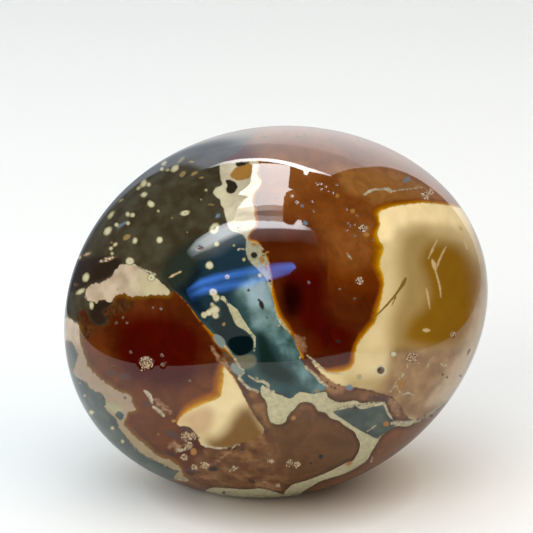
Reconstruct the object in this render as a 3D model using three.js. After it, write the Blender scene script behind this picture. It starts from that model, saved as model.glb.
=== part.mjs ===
// A palm stone: one polished pebble of a hand's width, chunky and a little lopsided,
// that stands on a small flat spot rubbed into its underside.
//
// Millimetres, +Z up. X runs along the stone's length, Y through its thickness, with the
// face that shows the best pattern towards -Y. The origin is under the middle of the
// stone's box, on the plane of the flat spot.

import * as THREE from 'three';
import { mergeVertices } from 'three/addons/utils/BufferGeometryUtils.js';

// Half sizes of the plain egg shape that the swells are added to.
const halfLength = 30.6;
const halfThickness = 22;
const halfHeight = 27.5;

// The flat spot: how much of the lowest point is rubbed away, and how far the rounding
// between the flat and the side reaches above and below the flat's plane.
const footCut = 1.7;
const footRounding = 0.5;

// Each swell raises or lowers the stone's reach in one direction, in millimetres at its
// middle. Spread is how widely it fades out: at 0.3 it has half its height 38 degrees away.
const swells = [
  { toward: [0.77, 0, -0.64], rise: -2.9, spread: 0.3 }, // lower right side, rubbed down
  { toward: [-0.77, 0, -0.64], rise: 2.6, spread: 0.3 }, // full lower left shoulder
  { toward: [0.77, 0, 0.64], rise: 0.8, spread: 0.3 }, // upper right shoulder
  { toward: [0.25, -0.95, 0.2], rise: 0.7, spread: 0.25 }, // belly of the front face
  { toward: [-0.3, 0.95, 0.1], rise: -0.6, spread: 0.25 }, // flatter back
];

// Surface detail: the sphere of directions has 20 (directionSplits + 1)^2 triangles.
const directionSplits = 16;

const stoneColour = 0x6b4a32;
const polishRoughness = 0.08;

// The convex surface point whose outward normal is the given unit direction. A convex
// body is fixed by its reach, the distance from its centre to the tangent plane in each
// direction, and the point is the gradient of that reach.
function pointFacing(direction) {
  const stretched = new THREE.Vector3(
    direction.x * halfLength,
    direction.y * halfThickness,
    direction.z * halfHeight,
  );
  const reach = stretched.length();
  const point = new THREE.Vector3(
    (stretched.x * halfLength) / reach,
    (stretched.y * halfThickness) / reach,
    (stretched.z * halfHeight) / reach,
  );
  for (const { toward, rise, spread } of swells) {
    const middle = new THREE.Vector3(...toward).normalize();
    const facing = direction.dot(middle);
    const height = rise * Math.exp((facing - 1) / spread);
    const slope = height / spread;
    point.addScaledVector(direction, height - slope * facing);
    point.addScaledVector(middle, slope);
  }
  return point;
}

// The height after the underside is rubbed flat: the flat's own height below it, the
// stone's height above it, and a short curve between the two.
function rubbedFlat(height, flatHeight) {
  const above = height - flatHeight;
  if (above <= -footRounding) return flatHeight;
  if (above >= footRounding) return height;
  return flatHeight + (above + footRounding) ** 2 / (4 * footRounding);
}

function stoneGeometry() {
  const sphere = new THREE.IcosahedronGeometry(1, directionSplits);
  sphere.deleteAttribute('normal');
  sphere.deleteAttribute('uv');
  const geometry = mergeVertices(sphere);
  const positions = geometry.getAttribute('position');
  const direction = new THREE.Vector3();
  for (let i = 0; i < positions.count; i += 1) {
    direction.fromBufferAttribute(positions, i).normalize();
    const point = pointFacing(direction);
    point.z = rubbedFlat(point.z, footCut - halfHeight);
    positions.setXYZ(i, point.x, point.y, point.z);
  }
  geometry.computeBoundingBox();
  const { min, max } = geometry.boundingBox;
  geometry.translate(-(min.x + max.x) / 2, -(min.y + max.y) / 2, -min.z);
  geometry.computeVertexNormals();
  return geometry;
}

function palmStone() {
  const material = new THREE.MeshStandardMaterial({
    color: stoneColour,
    roughness: polishRoughness,
    metalness: 0,
  });
  const stone = new THREE.Mesh(stoneGeometry(), material);
  stone.name = 'palm_stone';
  return stone;
}

const group = new THREE.Group();
group.add(palmStone());

export default group;
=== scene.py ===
# %% [markdown]
# # A palm stone of polished jasper
# This lesson dresses one polished pebble. The real thing is a single piece of jasper and agate:
# patches of several colours that grew together, rubbed into a rounded form and buffed until it
# mirrors the room. There is nothing to assemble, so all the work is in the form and the pattern.
# The form comes from a rule. The pattern is laid out as a map maker would do it: outlines drawn
# over the stone as the camera sees it, turned into distances that the material can read.

# %% Load the frame
import math
import bmesh
import bpy
import numpy as np
from mathutils import Matrix, Vector


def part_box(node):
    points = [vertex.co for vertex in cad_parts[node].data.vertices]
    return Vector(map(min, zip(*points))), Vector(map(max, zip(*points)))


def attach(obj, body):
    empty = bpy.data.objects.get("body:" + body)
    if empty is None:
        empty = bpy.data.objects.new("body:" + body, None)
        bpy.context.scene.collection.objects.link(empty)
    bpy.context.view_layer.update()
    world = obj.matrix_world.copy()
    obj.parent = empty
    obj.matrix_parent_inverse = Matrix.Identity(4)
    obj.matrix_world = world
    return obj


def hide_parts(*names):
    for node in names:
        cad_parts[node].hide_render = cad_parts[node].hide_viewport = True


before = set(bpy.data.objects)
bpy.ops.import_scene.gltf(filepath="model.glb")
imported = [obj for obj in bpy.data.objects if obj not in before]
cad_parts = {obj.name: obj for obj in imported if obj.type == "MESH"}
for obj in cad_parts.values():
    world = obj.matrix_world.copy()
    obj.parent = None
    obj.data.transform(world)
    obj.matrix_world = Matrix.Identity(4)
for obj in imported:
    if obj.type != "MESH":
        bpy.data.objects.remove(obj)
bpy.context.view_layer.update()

MM = 0.001
stone_low, stone_high = (np.array(corner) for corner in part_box("palm_stone"))
stone_size = stone_high - stone_low
print("the stone measures", np.round(stone_size / MM, 1), "mm")

# %% [markdown]
# ## The camera
# The camera comes first here, because the pattern is drawn over the stone as the camera sees it.
# It stands about 300 mm in front of the stone and looks down on it by 18 degrees. A long lens keeps
# the form from looking swollen. The frame is square, 533 pixels a side, and one pixel covers about
# 0.145 mm at the stone, which is what places everything below.

# %% Place the camera
photo_side = 533
pixel = 0.1455 * MM
camera_rise = math.radians(18)
camera_distance = 300 * MM
sensor_width = 36
pebble_centre_in_photo = (282.4, 314.2)
pebble_centre = np.array([1.05, 0.53, 25.8]) * MM

to_right = np.array([1.0, 0.0, 0.0])
to_camera = np.array([0.0, -math.cos(camera_rise), math.sin(camera_rise)])
to_top = np.cross(to_camera, to_right)
aim_right = photo_side / 2 - pebble_centre_in_photo[0]
aim_up = pebble_centre_in_photo[1] - photo_side / 2
camera_place = (pebble_centre + to_camera * camera_distance
                + (to_right * aim_right + to_top * aim_up) * pixel)


def place_camera():
    """A camera whose lens makes one pixel of the picture cover one pixel's width at the stone."""
    data = bpy.data.cameras.new("camera")
    data.sensor_width = sensor_width
    data.lens = sensor_width * camera_distance / (photo_side * pixel)
    camera = bpy.data.objects.new("camera", data)
    axes = Matrix((to_right, to_top, to_camera)).transposed().to_4x4()
    camera.matrix_world = Matrix.Translation(Vector(camera_place)) @ axes
    bpy.context.scene.collection.objects.link(camera)
    bpy.context.scene.camera = camera
    return camera


camera = place_camera()
print("camera lens", round(camera.data.lens, 1), "mm")

# %% [markdown]
# ## The form of the pebble
# A stone worn by tumbling is convex everywhere. A convex body is described well by its reach: how
# far its tangent plane stands from the centre, for every direction it can face. The surface point
# that faces a direction is the gradient of that reach. So the form starts as a sphere of directions,
# and Geometry Nodes moves each point to the place that faces its way. An egg shape gives the main
# size, a few swells make it lopsided, and the last nodes rub the small flat that it stands on.

# %% The sizes of the pebble
half_length, half_thickness, half_height = 30.6 * MM, 22 * MM, 27.5 * MM
foot_cut, foot_rounding = 1.7 * MM, 0.5 * MM
# Each swell: the way it faces, how far it rises, and how widely it spreads.
swells = {
    "lower right": ((0.77, 0, -0.64), -2.9 * MM, 0.3),
    "lower left": ((-0.77, 0, -0.64), 2.6 * MM, 0.3),
    "upper right": ((0.77, 0, 0.64), 0.8 * MM, 0.3),
    "front belly": ((0.25, -0.95, 0.2), 0.7 * MM, 0.25),
    "flatter back": ((-0.3, 0.95, 0.1), -0.6 * MM, 0.25),
}
print("swells and hollows:", ", ".join(swells))

# %% [markdown]
# ### Adding nodes
# Every tree below, of shapes and of colours, is built from nodes that are added one at a time. One
# small function does that: it makes the node, sets its values and links its inputs.

# %% A function that adds one node
def add_node(tree, kind, settings=None, feeds=None):
    """Adds a node. Settings go to the node or to its inputs, and feeds links sockets to inputs."""
    made = tree.nodes.new(kind)
    for name, value in (settings or {}).items():
        if isinstance(name, str) and hasattr(made, name):
            setattr(made, name, value)
        else:
            made.inputs[name].default_value = value
    for name, socket in (feeds or {}).items():
        tree.links.new(socket, made.inputs[name])
    return made


# %% [markdown]
# ### One swell
# A swell adds a low bump to the reach, highest for the directions that face its middle. The gradient
# of such a bump has two parts: one pushes the point outward, and one pulls it toward the middle of
# the swell. A negative rise makes a hollow in the same way.

# %% The nodes of one swell
MATH, VECTOR = "ShaderNodeMath", "ShaderNodeVectorMath"


def swell_step(tree, direction, point, middle, rise, spread):
    """The nodes that add one swell to the surface point that faces a direction."""
    facing = add_node(tree, VECTOR, {"operation": "DOT_PRODUCT", 1: middle}, {0: direction})
    falloff = add_node(tree, MATH, {"operation": "SUBTRACT", 1: 1.0}, {0: facing.outputs["Value"]})
    falloff = add_node(tree, MATH, {"operation": "DIVIDE", 1: spread}, {0: falloff.outputs[0]})
    falloff = add_node(tree, MATH, {"operation": "EXPONENT"}, {0: falloff.outputs[0]})
    height = add_node(tree, MATH, {"operation": "MULTIPLY"}, {0: falloff.outputs[0], 1: rise})
    slope = add_node(tree, MATH, {"operation": "DIVIDE", 1: spread}, {0: height.outputs[0]})
    pull = add_node(tree, MATH, {"operation": "MULTIPLY"},
                    {0: slope.outputs[0], 1: facing.outputs["Value"]})
    push = add_node(tree, MATH, {"operation": "SUBTRACT"}, {0: height.outputs[0], 1: pull.outputs[0]})
    out = add_node(tree, VECTOR, {"operation": "SCALE"}, {0: direction, "Scale": push.outputs[0]})
    aside = add_node(tree, VECTOR, {"operation": "SCALE", 0: middle}, {"Scale": slope.outputs[0]})
    both = add_node(tree, VECTOR, {"operation": "ADD"}, {0: out.outputs[0], 1: aside.outputs[0]})
    return add_node(tree, VECTOR, {"operation": "ADD"}, {0: point, 1: both.outputs[0]}).outputs[0]


# %% [markdown]
# ### The foot
# Whoever polished the stone rubbed a small flat on it, so that it stands. Points below the flat's
# height are lifted to it, and a short curve leads from the flat into the side.

# %% The nodes of the foot
def foot_step(tree, point, flat_height, rounding):
    """The nodes that rub the underside flat, with a short curve from the flat to the side."""
    parts = add_node(tree, "ShaderNodeSeparateXYZ", feeds={0: point})
    above = add_node(tree, MATH, {"operation": "SUBTRACT"}, {0: parts.outputs["Z"], 1: flat_height})
    across = add_node(tree, MATH, {"operation": "MULTIPLY", 1: 2.0}, {0: rounding})
    shifted = add_node(tree, MATH, {"operation": "ADD"}, {0: above.outputs[0], 1: rounding})
    into = add_node(tree, "ShaderNodeClamp",
                    feeds={"Value": shifted.outputs[0], "Max": across.outputs[0]})
    square = add_node(tree, MATH, {"operation": "MULTIPLY"}, {0: into.outputs[0], 1: into.outputs[0]})
    curve = add_node(tree, MATH, {"operation": "DIVIDE"}, {0: square.outputs[0], 1: across.outputs[0]})
    curve = add_node(tree, MATH, {"operation": "MULTIPLY", 1: 0.5}, {0: curve.outputs[0]})
    clear = add_node(tree, MATH, {"operation": "SUBTRACT"}, {0: above.outputs[0], 1: rounding})
    clear = add_node(tree, MATH, {"operation": "MAXIMUM", 1: 0.0}, {0: clear.outputs[0]})
    raised = add_node(tree, MATH, {"operation": "ADD"}, {0: curve.outputs[0], 1: clear.outputs[0]})
    height = add_node(tree, MATH, {"operation": "ADD"}, {0: raised.outputs[0], 1: flat_height})
    return add_node(tree, "ShaderNodeCombineXYZ", feeds={
        "X": parts.outputs["X"], "Y": parts.outputs["Y"], "Z": height.outputs[0]}).outputs[0]


# %% [markdown]
# ### The whole tree
# First the egg: stretching a direction by the half sizes, twice over, and dividing by the reach gives
# the point of the egg that faces that way. Then the swells in turn, and the foot. Every size is an
# input of the tree, so the form can be changed without touching a node.

# %% The tree that shapes the pebble
def pebble_tree(material):
    """The tree that turns a mesh of directions into the pebble, with its sizes as named inputs."""
    tree = bpy.data.node_groups.new("pebble", "GeometryNodeTree")
    tree.interface.new_socket("Directions", in_out="INPUT", socket_type="NodeSocketGeometry")
    sizes = {"Half length": half_length, "Half thickness": half_thickness, "Half height": half_height,
             "Flat height": foot_cut - half_height, "Foot rounding": foot_rounding}
    sizes.update({f"Swell {name}": rise for name, (_, rise, _) in swells.items()})
    for name, size in sizes.items():
        socket = tree.interface.new_socket(name, in_out="INPUT", socket_type="NodeSocketFloat")
        socket.default_value = size
    tree.interface.new_socket("Pebble", in_out="OUTPUT", socket_type="NodeSocketGeometry")
    given = add_node(tree, "NodeGroupInput")
    position = add_node(tree, "GeometryNodeInputPosition")
    direction = add_node(tree, VECTOR, {"operation": "NORMALIZE"}, {0: position.outputs[0]}).outputs[0]
    half = add_node(tree, "ShaderNodeCombineXYZ", feeds={
        "X": given.outputs["Half length"], "Y": given.outputs["Half thickness"],
        "Z": given.outputs["Half height"]}).outputs[0]
    stretched = add_node(tree, VECTOR, {"operation": "MULTIPLY"}, {0: direction, 1: half}).outputs[0]
    reach = add_node(tree, VECTOR, {"operation": "LENGTH"}, {0: stretched}).outputs["Value"]
    point = add_node(tree, VECTOR, {"operation": "MULTIPLY"}, {0: stretched, 1: half}).outputs[0]
    share = add_node(tree, MATH, {"operation": "DIVIDE", 0: 1.0}, {1: reach}).outputs[0]
    point = add_node(tree, VECTOR, {"operation": "SCALE"}, {0: point, "Scale": share}).outputs[0]
    for name, (toward, _, spread) in swells.items():
        middle = Vector(toward).normalized()
        point = swell_step(tree, direction, point, middle, given.outputs[f"Swell {name}"], spread)
    point = foot_step(tree, point, given.outputs["Flat height"], given.outputs["Foot rounding"])
    moved = add_node(tree, "GeometryNodeSetPosition", feeds={
        "Geometry": given.outputs["Directions"], "Position": point})
    smooth = add_node(tree, "GeometryNodeSetShadeSmooth", feeds={0: moved.outputs[0]})
    real = add_node(tree, "GeometryNodeRealizeInstances", feeds={0: smooth.outputs[0]})
    dressed = add_node(tree, "GeometryNodeSetMaterial", {"Material": material}, {0: real.outputs[0]})
    add_node(tree, "NodeGroupOutput", feeds={0: dressed.outputs[0]})
    return tree


stone_material = bpy.data.materials.new("polished_jasper")
pebble_nodes = pebble_tree(stone_material)
print("the pebble's tree has", len(pebble_nodes.nodes), "nodes")

# %% [markdown]
# ## From directions to a stone
# The tree runs on any mesh of directions. The first run is on an even sphere. Its points are then
# scaled and moved as one, so that they fill exactly the box of the solid in the frame.

# %% Run the tree on a mesh of directions
def shaped(mesh, tree=pebble_nodes):
    """The plain mesh that a tree makes of a mesh, with every named input at its set value."""
    holder = bpy.data.objects.new("holder", mesh)
    bpy.context.scene.collection.objects.link(holder)
    modifier = holder.modifiers.new("nodes", "NODES")
    modifier.node_group = tree
    for item in tree.interface.items_tree:
        if item.in_out == "INPUT" and item.socket_type != "NodeSocketGeometry":
            modifier[item.identifier] = item.default_value
    graph = bpy.context.evaluated_depsgraph_get()
    made = bpy.data.meshes.new_from_object(holder.evaluated_get(graph))
    holder.modifiers.remove(modifier)
    bpy.data.objects.remove(holder)
    return made


def mesh_points(mesh):
    """The places of a mesh's points, one row each."""
    points = np.empty(len(mesh.vertices) * 3)
    mesh.vertices.foreach_get("co", points)
    return points.reshape(-1, 3)


def fitted(points):
    """The points scaled and moved so that they fill the CAD solid's box."""
    low, high = points.min(axis=0), points.max(axis=0)
    return stone_low + (points - low) * stone_size / (high - low)


def sphere_of_directions(splits):
    """An even sphere of radius one. Each of its points stands for the direction it lies in."""
    mesh = bpy.data.meshes.new("directions")
    ball = bmesh.new()
    bmesh.ops.create_icosphere(ball, subdivisions=splits, radius=1.0)
    ball.to_mesh(mesh)
    ball.free()
    return mesh


sphere_splits = 7
directions = sphere_of_directions(sphere_splits)
points = fitted(mesh_points(shaped(directions)))
print("the even stone has", len(points), "points")

# %% [markdown]
# ## Where a point falls in the picture
# Every outline of the pattern is drawn in the picture's own pixels. To use them, each point of the
# stone is carried to its place in the picture. Points on the far side fall inside the outline too,
# so the far side would repeat the front like a stencil. A real stone's patches lean and wander on
# their way through it, so the places on the far side are turned and pushed about, more the further
# they face away. At the rim nothing moves, and the pattern runs over it unbroken.

# %% Carry points into the picture
back_turn = math.radians(75)
back_wander = 34
# Each wave: how fast it turns along x and along y, in radians per pixel, and where it starts.
wander_waves = ((0.071, 0.052, 0.3), (-0.043, 0.083, 1.9), (0.031, -0.064, 4.1))
cross_wave_rate = 1.3


def eased(share):
    """A share from 0 to 1 that starts and ends softly."""
    return share * share * (3 - 2 * share)


def in_picture(points):
    """Where the camera sees each point, in pixels from the picture's top left corner."""
    from_camera = points - camera_place
    depth = -(from_camera @ to_camera)
    spread = camera_distance / pixel / depth
    right, up = (from_camera @ to_right) * spread, (from_camera @ to_top) * spread
    return np.stack([photo_side / 2 + right, photo_side / 2 - up], axis=1)


def pattern_places(points, facing):
    """The place in the drawn pattern that each point of the stone takes its colour from."""
    places = in_picture(points)
    away = np.clip(-(facing @ to_camera), 0, 1)
    share = eased(away)
    centre = np.array(pebble_centre_in_photo)
    turned = places - centre
    angle = share * back_turn
    cos, sin = np.cos(angle), np.sin(angle)
    turned = np.stack([turned[:, 0] * cos - turned[:, 1] * sin,
                       turned[:, 0] * sin + turned[:, 1] * cos], axis=1)
    wander = np.zeros_like(turned)
    for wave_x, wave_y, start in wander_waves:
        phase = places[:, 0] * wave_x + places[:, 1] * wave_y + start
        wander += np.stack([np.sin(phase), np.cos(phase * cross_wave_rate + start)], axis=1)
    return centre + turned + wander * (share * back_wander / len(wander_waves))[:, None]


print("the stone spans", np.round(np.ptp(in_picture(points), axis=0)), "pixels of the picture")

# %% [markdown]
# ## Outlines, spots and strokes
# Three shapes are enough to draw the whole pattern: a closed outline through a few points, a round
# spot, and a stroke along a line that swells and tapers. Each gives a distance in millimetres, above
# zero inside the shape and below zero outside. A material that knows the distance can draw a crisp
# edge of any softness or fray it, which a plain painted mask can't do. An outline can also say how
# far its glow reaches, point by point.

# %% Lines through the drawn points
drawn_pixel = pixel / MM
far_away = 5.0
least_run = 1e-9


def through(points, closed=True, steps=5):
    """A smooth line through given points, as a run of short straight pieces."""
    knots = np.array(points, float)
    if closed:
        before, after, beyond = np.roll(knots, 1, 0), np.roll(knots, -1, 0), np.roll(knots, -2, 0)
    else:
        ends = np.vstack([knots[0], knots, knots[-1]])
        before, knots, after, beyond = ends[:-3], ends[1:-2], ends[2:-1], ends[3:]
    along = np.linspace(0, 1, steps, endpoint=False)[None, :, None]
    start, end = knots[:, None], after[:, None]
    bend_in, bend_out = (end - before[:, None]) / 2, (beyond[:, None] - start) / 2
    curve = (start * (2 * along**3 - 3 * along**2 + 1) + end * (3 * along**2 - 2 * along**3)
             + bend_in * (along**3 - 2 * along**2 + along) + bend_out * (along**3 - along**2))
    curve = curve.reshape(-1, knots.shape[1])
    return curve if closed else np.vstack([curve, after[-1]])


def pieces(places, line, closed=True):
    """For each straight piece of a line: its gap to each place in pixels, and its own width there."""
    starts, ends = (line, np.roll(line, -1, axis=0)) if closed else (line[:-1], line[1:])
    for start, end in zip(starts, ends):
        run = end[:2] - start[:2]
        share = np.clip(((places - start[:2]) @ run) / max(run @ run, least_run), 0, 1)
        off = places - start[:2] - share[:, None] * run
        yield np.hypot(off[:, 0], off[:, 1]), start[-1] + share * (end[-1] - start[-1])


def crossings(places, line):
    """Whether each place is inside a closed line, by the count of pieces to its right."""
    inside = np.zeros(len(places), bool)
    x, y = places[:, 0], places[:, 1]
    for (x0, y0), (x1, y1) in zip(line, np.roll(line, -1, axis=0)):
        if y0 == y1:
            continue
        spans = (y0 > y) != (y1 > y)
        inside ^= spans & (x < x0 + (y - y0) * (x1 - x0) / (y1 - y0))
    return inside


def near(places, line, margin=far_away / drawn_pixel):
    """The numbers of the places that lie close enough to a line to be worth measuring."""
    low, high = line[:, :2].min(axis=0) - margin, line[:, :2].max(axis=0) + margin
    return np.flatnonzero(((places > low) & (places < high)).all(axis=1))


print("one pixel of the drawing is", round(drawn_pixel, 4), "mm; depths stop at", far_away, "mm")

# %% [markdown]
# ### Depths
# With the gap to each straight piece of a line known, the depth in a shape is a matter of a few
# steps. Places more than 5 mm outside a line's box aren't measured: no edge is that soft.

# %% Depths in outlines, spots and strokes
least_glow = 0.05
glow_of_plain_points = 0.1


def outline_depth(places, outline):
    """Millimetres inside an outline, or below zero outside it."""
    line = through([point[:2] for point in outline])
    depth = np.full(len(places), -far_away)
    close = near(places, line)
    distance = np.min([gap for gap, _ in pieces(places[close], line)], axis=0) * drawn_pixel
    depth[close] = np.where(crossings(places[close], line), distance, -distance)
    return depth


def glow_share(places, outline):
    """One on the edge of an outline, falling to nothing where its glow ends and below that beyond.

    A point's third number is its glow's reach. A point without one has next to no glow."""
    line = through([(*point, glow_of_plain_points)[:3] for point in outline])
    share = np.full(len(places), -1.0)
    close = near(places, line)
    for gap, reach in pieces(places[close], line):
        share[close] = np.maximum(share[close], 1 - gap / np.maximum(reach, least_glow))
    return share


def spot_depth(places, spot):
    """Millimetres inside a spot, given as x, y, radius and perhaps half height and tilt in degrees."""
    x, y, radius, *oval = spot
    height = oval[0] if oval else radius
    tilt = math.radians(oval[1]) if len(oval) > 1 else 0.0
    off = places - (x, y)
    along = off[:, 0] * math.cos(tilt) + off[:, 1] * math.sin(tilt)
    across = off[:, 1] * math.cos(tilt) - off[:, 0] * math.sin(tilt)
    reach = np.hypot(along / radius, across / height)
    return (1 - reach) * min(radius, height) * drawn_pixel


def stroke_depth(places, stroke):
    """Millimetres inside a line whose points are given as x, y and half width."""
    line = through(stroke, closed=False)
    depth = np.full(len(places), -far_away)
    close = near(places, line)
    for gap, half_width in pieces(places[close], line, closed=False):
        depth[close] = np.maximum(depth[close], (half_width - gap) * drawn_pixel)
    return depth


def kind_depth(places, outlines=(), spots=(), strokes=()):
    """Millimetres inside the nearest of all the shapes of one kind."""
    depth = np.full(len(places), -far_away)
    for measure, shapes in ((outline_depth, outlines), (spot_depth, spots), (stroke_depth, strokes)):
        for shape in shapes:
            depth = np.maximum(depth, measure(places, shape))
    return depth


print("depth in the middle of a spot of 10 pixels:",
      round(float(spot_depth(np.zeros((1, 2)), (0, 0, 10))[0]), 2), "mm")

# %% [markdown]
# ## The drawn pattern
# Now the pattern itself. The ground of the stone is a dark red-brown chalcedony, so it needs no
# outline: it shows wherever nothing is laid over it. Each kind below is one thing a collector would
# name: the olive jasper, the blue-green band, the cream, the honey windows in it, the pink, the
# pale veins and the little round orbs. The points are in pixels, x to the right and y down.
#
# The olive is fine-grained jasper coloured by iron and clay. It comes first, with the darker places
# in it. An outline may run past the stone's own edge, so that the colour goes on round the side.

# %% The olive jasper at the upper left
# The border that the olive and the cream band share.
olive_to_cream = [
    (219.7, 167), (220, 173), (221, 180), (222.5, 184.5), (214.3, 190), (213.5, 193.7), (216.6, 197),
    (220.5, 200), (221, 204.5), (223.6, 208.4), (224.8, 214.5), (226.7, 220.7),
]
olive_field = [
    (262, 112), (256, 128), (247, 142), (238, 152), (228, 158), (220, 163), *olive_to_cream,
    (224, 228), (214, 240), (203, 258), (188, 284), (172, 292), (150, 284), (131, 276), (119, 274),
    (106, 280), (98, 290), (96, 299), (105, 300), (110.6, 300.2), (113.5, 302), (108.7, 307),
    (103, 312.6), (107.8, 318.3), (105.8, 324), (98.2, 326), (91.5, 322), (88.7, 316.4), (82, 309.7),
    (78.1, 315.5), (78.1, 323.1), (74.3, 322.1), (69.6, 316.4), (60, 316), (46, 290), (46, 250),
    (70, 200), (120, 140), (190, 108),
]
black_olive = [
    [(93, 302), (104, 300), (113, 302), (109, 307), (103, 312), (107, 318), (105, 324), (97, 325),
     (91, 320), (89, 311)],
    [(76, 262), (98, 256), (122, 260), (112, 274), (104, 279), (94, 282), (86, 286), (74, 292),
     (66, 284), (68, 268)],
]
green_black = [
    (168, 256), (182, 244), (198, 236), (212, 230), (226, 227), (236, 235), (218, 247), (204, 258),
    (194, 269), (186, 280), (176, 290), (163, 280), (162, 266),
]
print("points round the olive:", len(olive_field))

# %% [markdown]
# ### The blue-green band and the slate
# The band is chalcedony coloured by fine green clay. It isn't one colour: milky at the upper right,
# sea green below that, nearly black at the lower left. Each such place gets an outline of its own
# that is later given a wide soft edge. The slate patches are the same stuff with less green in it.

# %% The blue-green band, its lights and darks, and the slate patches
# The border that the blue-green band and its speckled rim share.
teal_to_speckles = [
    (246, 250.6), (248.2, 259.2), (253.4, 265.2), (258.6, 270.4), (264.6, 276.5), (267.2, 283.4),
]
teal_band = [
    (214, 232), (224, 228), (232, 231), (238, 232.5), (243, 235), (246.5, 240.2), *teal_to_speckles,
    (270.7, 290.3), (273.3, 300.7), (276.7, 312.8), (280.2, 319.7), (284.9, 325.7), (288.5, 332),
    (294, 339), (296.4, 345.5), (300, 353.6), (300, 357.3), (306.4, 367.3), (315.5, 375.5),
    (320.9, 381.8), (327.6, 387), (315, 394), (302, 391.5), (294, 395), (290.5, 399), (280, 393.5),
    (262, 392), (256, 391), (249.5, 388.5), (243, 383), (239.5, 377.5), (243, 372), (238, 364.5),
    (234, 357.5), (230, 352), (224.8, 345.5), (218, 338), (213, 333.5), (200, 320), (187, 303),
    (169, 283), (172, 268), (184, 252), (200, 238),
]
slate_blob = [
    (70.5, 341.3), (75.7, 348.6), (77.3, 359.1), (73.6, 369.5), (70.5, 362.2), (67.8, 350.7),
]
# The border that the slate strip and the pink strip share.
slate_to_pink = [
    (73.6, 373.7), (85.1, 382.1), (92.4, 389.4), (101.8, 393.6), (106, 401.9), (105, 408.2),
    (115.8, 418.4), (119.6, 428), (128.2, 439.4), (137.8, 450), (145.4, 455.7), (156.9, 461.4),
    (166.4, 466.2), (174.1, 470), (178.8, 471),
]
slate_strip = [
    (58, 352), (66, 362), *slate_to_pink, (178, 478), (168, 481), (158, 492), (128, 482), (92, 455),
    (66, 415), (52, 375),
]
slate_quad = [
    (332.8, 411.2), (340, 409.6), (352, 407.2), (356, 406.4), (360, 408.8), (364.8, 408.8),
    (369.6, 407.2), (376, 405.6), (383.2, 404.8), (385.6, 409.6), (388, 415.2), (392, 419.2),
    (396.8, 421.6), (395.2, 426.4), (388, 430.4), (382.4, 434.4), (378.4, 438.4), (375.2, 438.4),
    (368, 434.4), (360, 430.4), (352, 425.6), (344, 420), (337.6, 416),
]
milky_side = [
    (236, 290), (246, 283), (256, 280), (265, 279), (270, 288), (273, 300), (277, 312), (282, 321),
    (278, 328), (268, 327), (256, 324), (249.9, 313), (245, 299),
]
milky_core = [(247, 287), (257, 283), (265, 284), (268, 294), (268, 304), (260, 306), (252, 300)]
sea_green = [
    (254, 322), (272, 318), (284, 325), (296, 342), (300, 356), (313, 374), (325, 386), (316, 390),
    (304, 382), (296, 366), (284, 352), (276, 341), (262, 334),
]
deep_blue = [
    (200, 250), (214, 236), (232, 235), (244, 238), (246, 252), (250, 264), (240, 284), (232, 296),
    (238, 312), (228, 306), (220, 300), (210, 320), (204, 322), (187, 303), (171, 286), (174, 268),
]
night_blue = [
    (172, 262), (186, 256), (198, 262), (201, 274), (194, 284), (200, 300), (206, 316), (196, 312),
    (184, 298), (168, 284),
]
deep_teal = [
    (256, 334), (264, 334), (272, 348), (280, 362), (294, 376), (290, 384), (272, 380), (260, 372),
    (257, 356),
]
dark_triangle = [
    (220, 300), (226, 304), (233, 320), (243, 330), (251, 337), (252, 350), (240, 356), (231, 350),
    (219, 336), (208, 324), (214, 318), (221, 316),
]
dark_eye = [
    (228.2, 341.4), (230.9, 338), (240.5, 335.9), (248.7, 336.3), (252.7, 339.3), (253.8, 344.8),
    (251.4, 350.2), (245.9, 354.3), (240.5, 355.7), (235, 354.3), (230.9, 349.6), (228.2, 345.5),
]
grey_pool = [
    (235, 356.4), (251.4, 354.3), (255.5, 357), (256.8, 361.8), (254.1, 365.9), (248.7, 368.7),
    (243.9, 368.7), (239.1, 364.6), (235.7, 360.5),
]
slate_notch = [(117.7, 411.5), (121.5, 412), (124, 416), (121.5, 420.3), (118, 418.5), (115, 415)]
print("points round the blue-green band:", len(teal_band))

# %% [markdown]
# ### The cream
# Cream jasper is dense and opaque, so it throws light back into the clear brown beside it. A point
# with a third number says how many pixels that glow reaches. A point with two has none, because its
# neighbour is opaque too or because a dark seam lies between.

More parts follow.
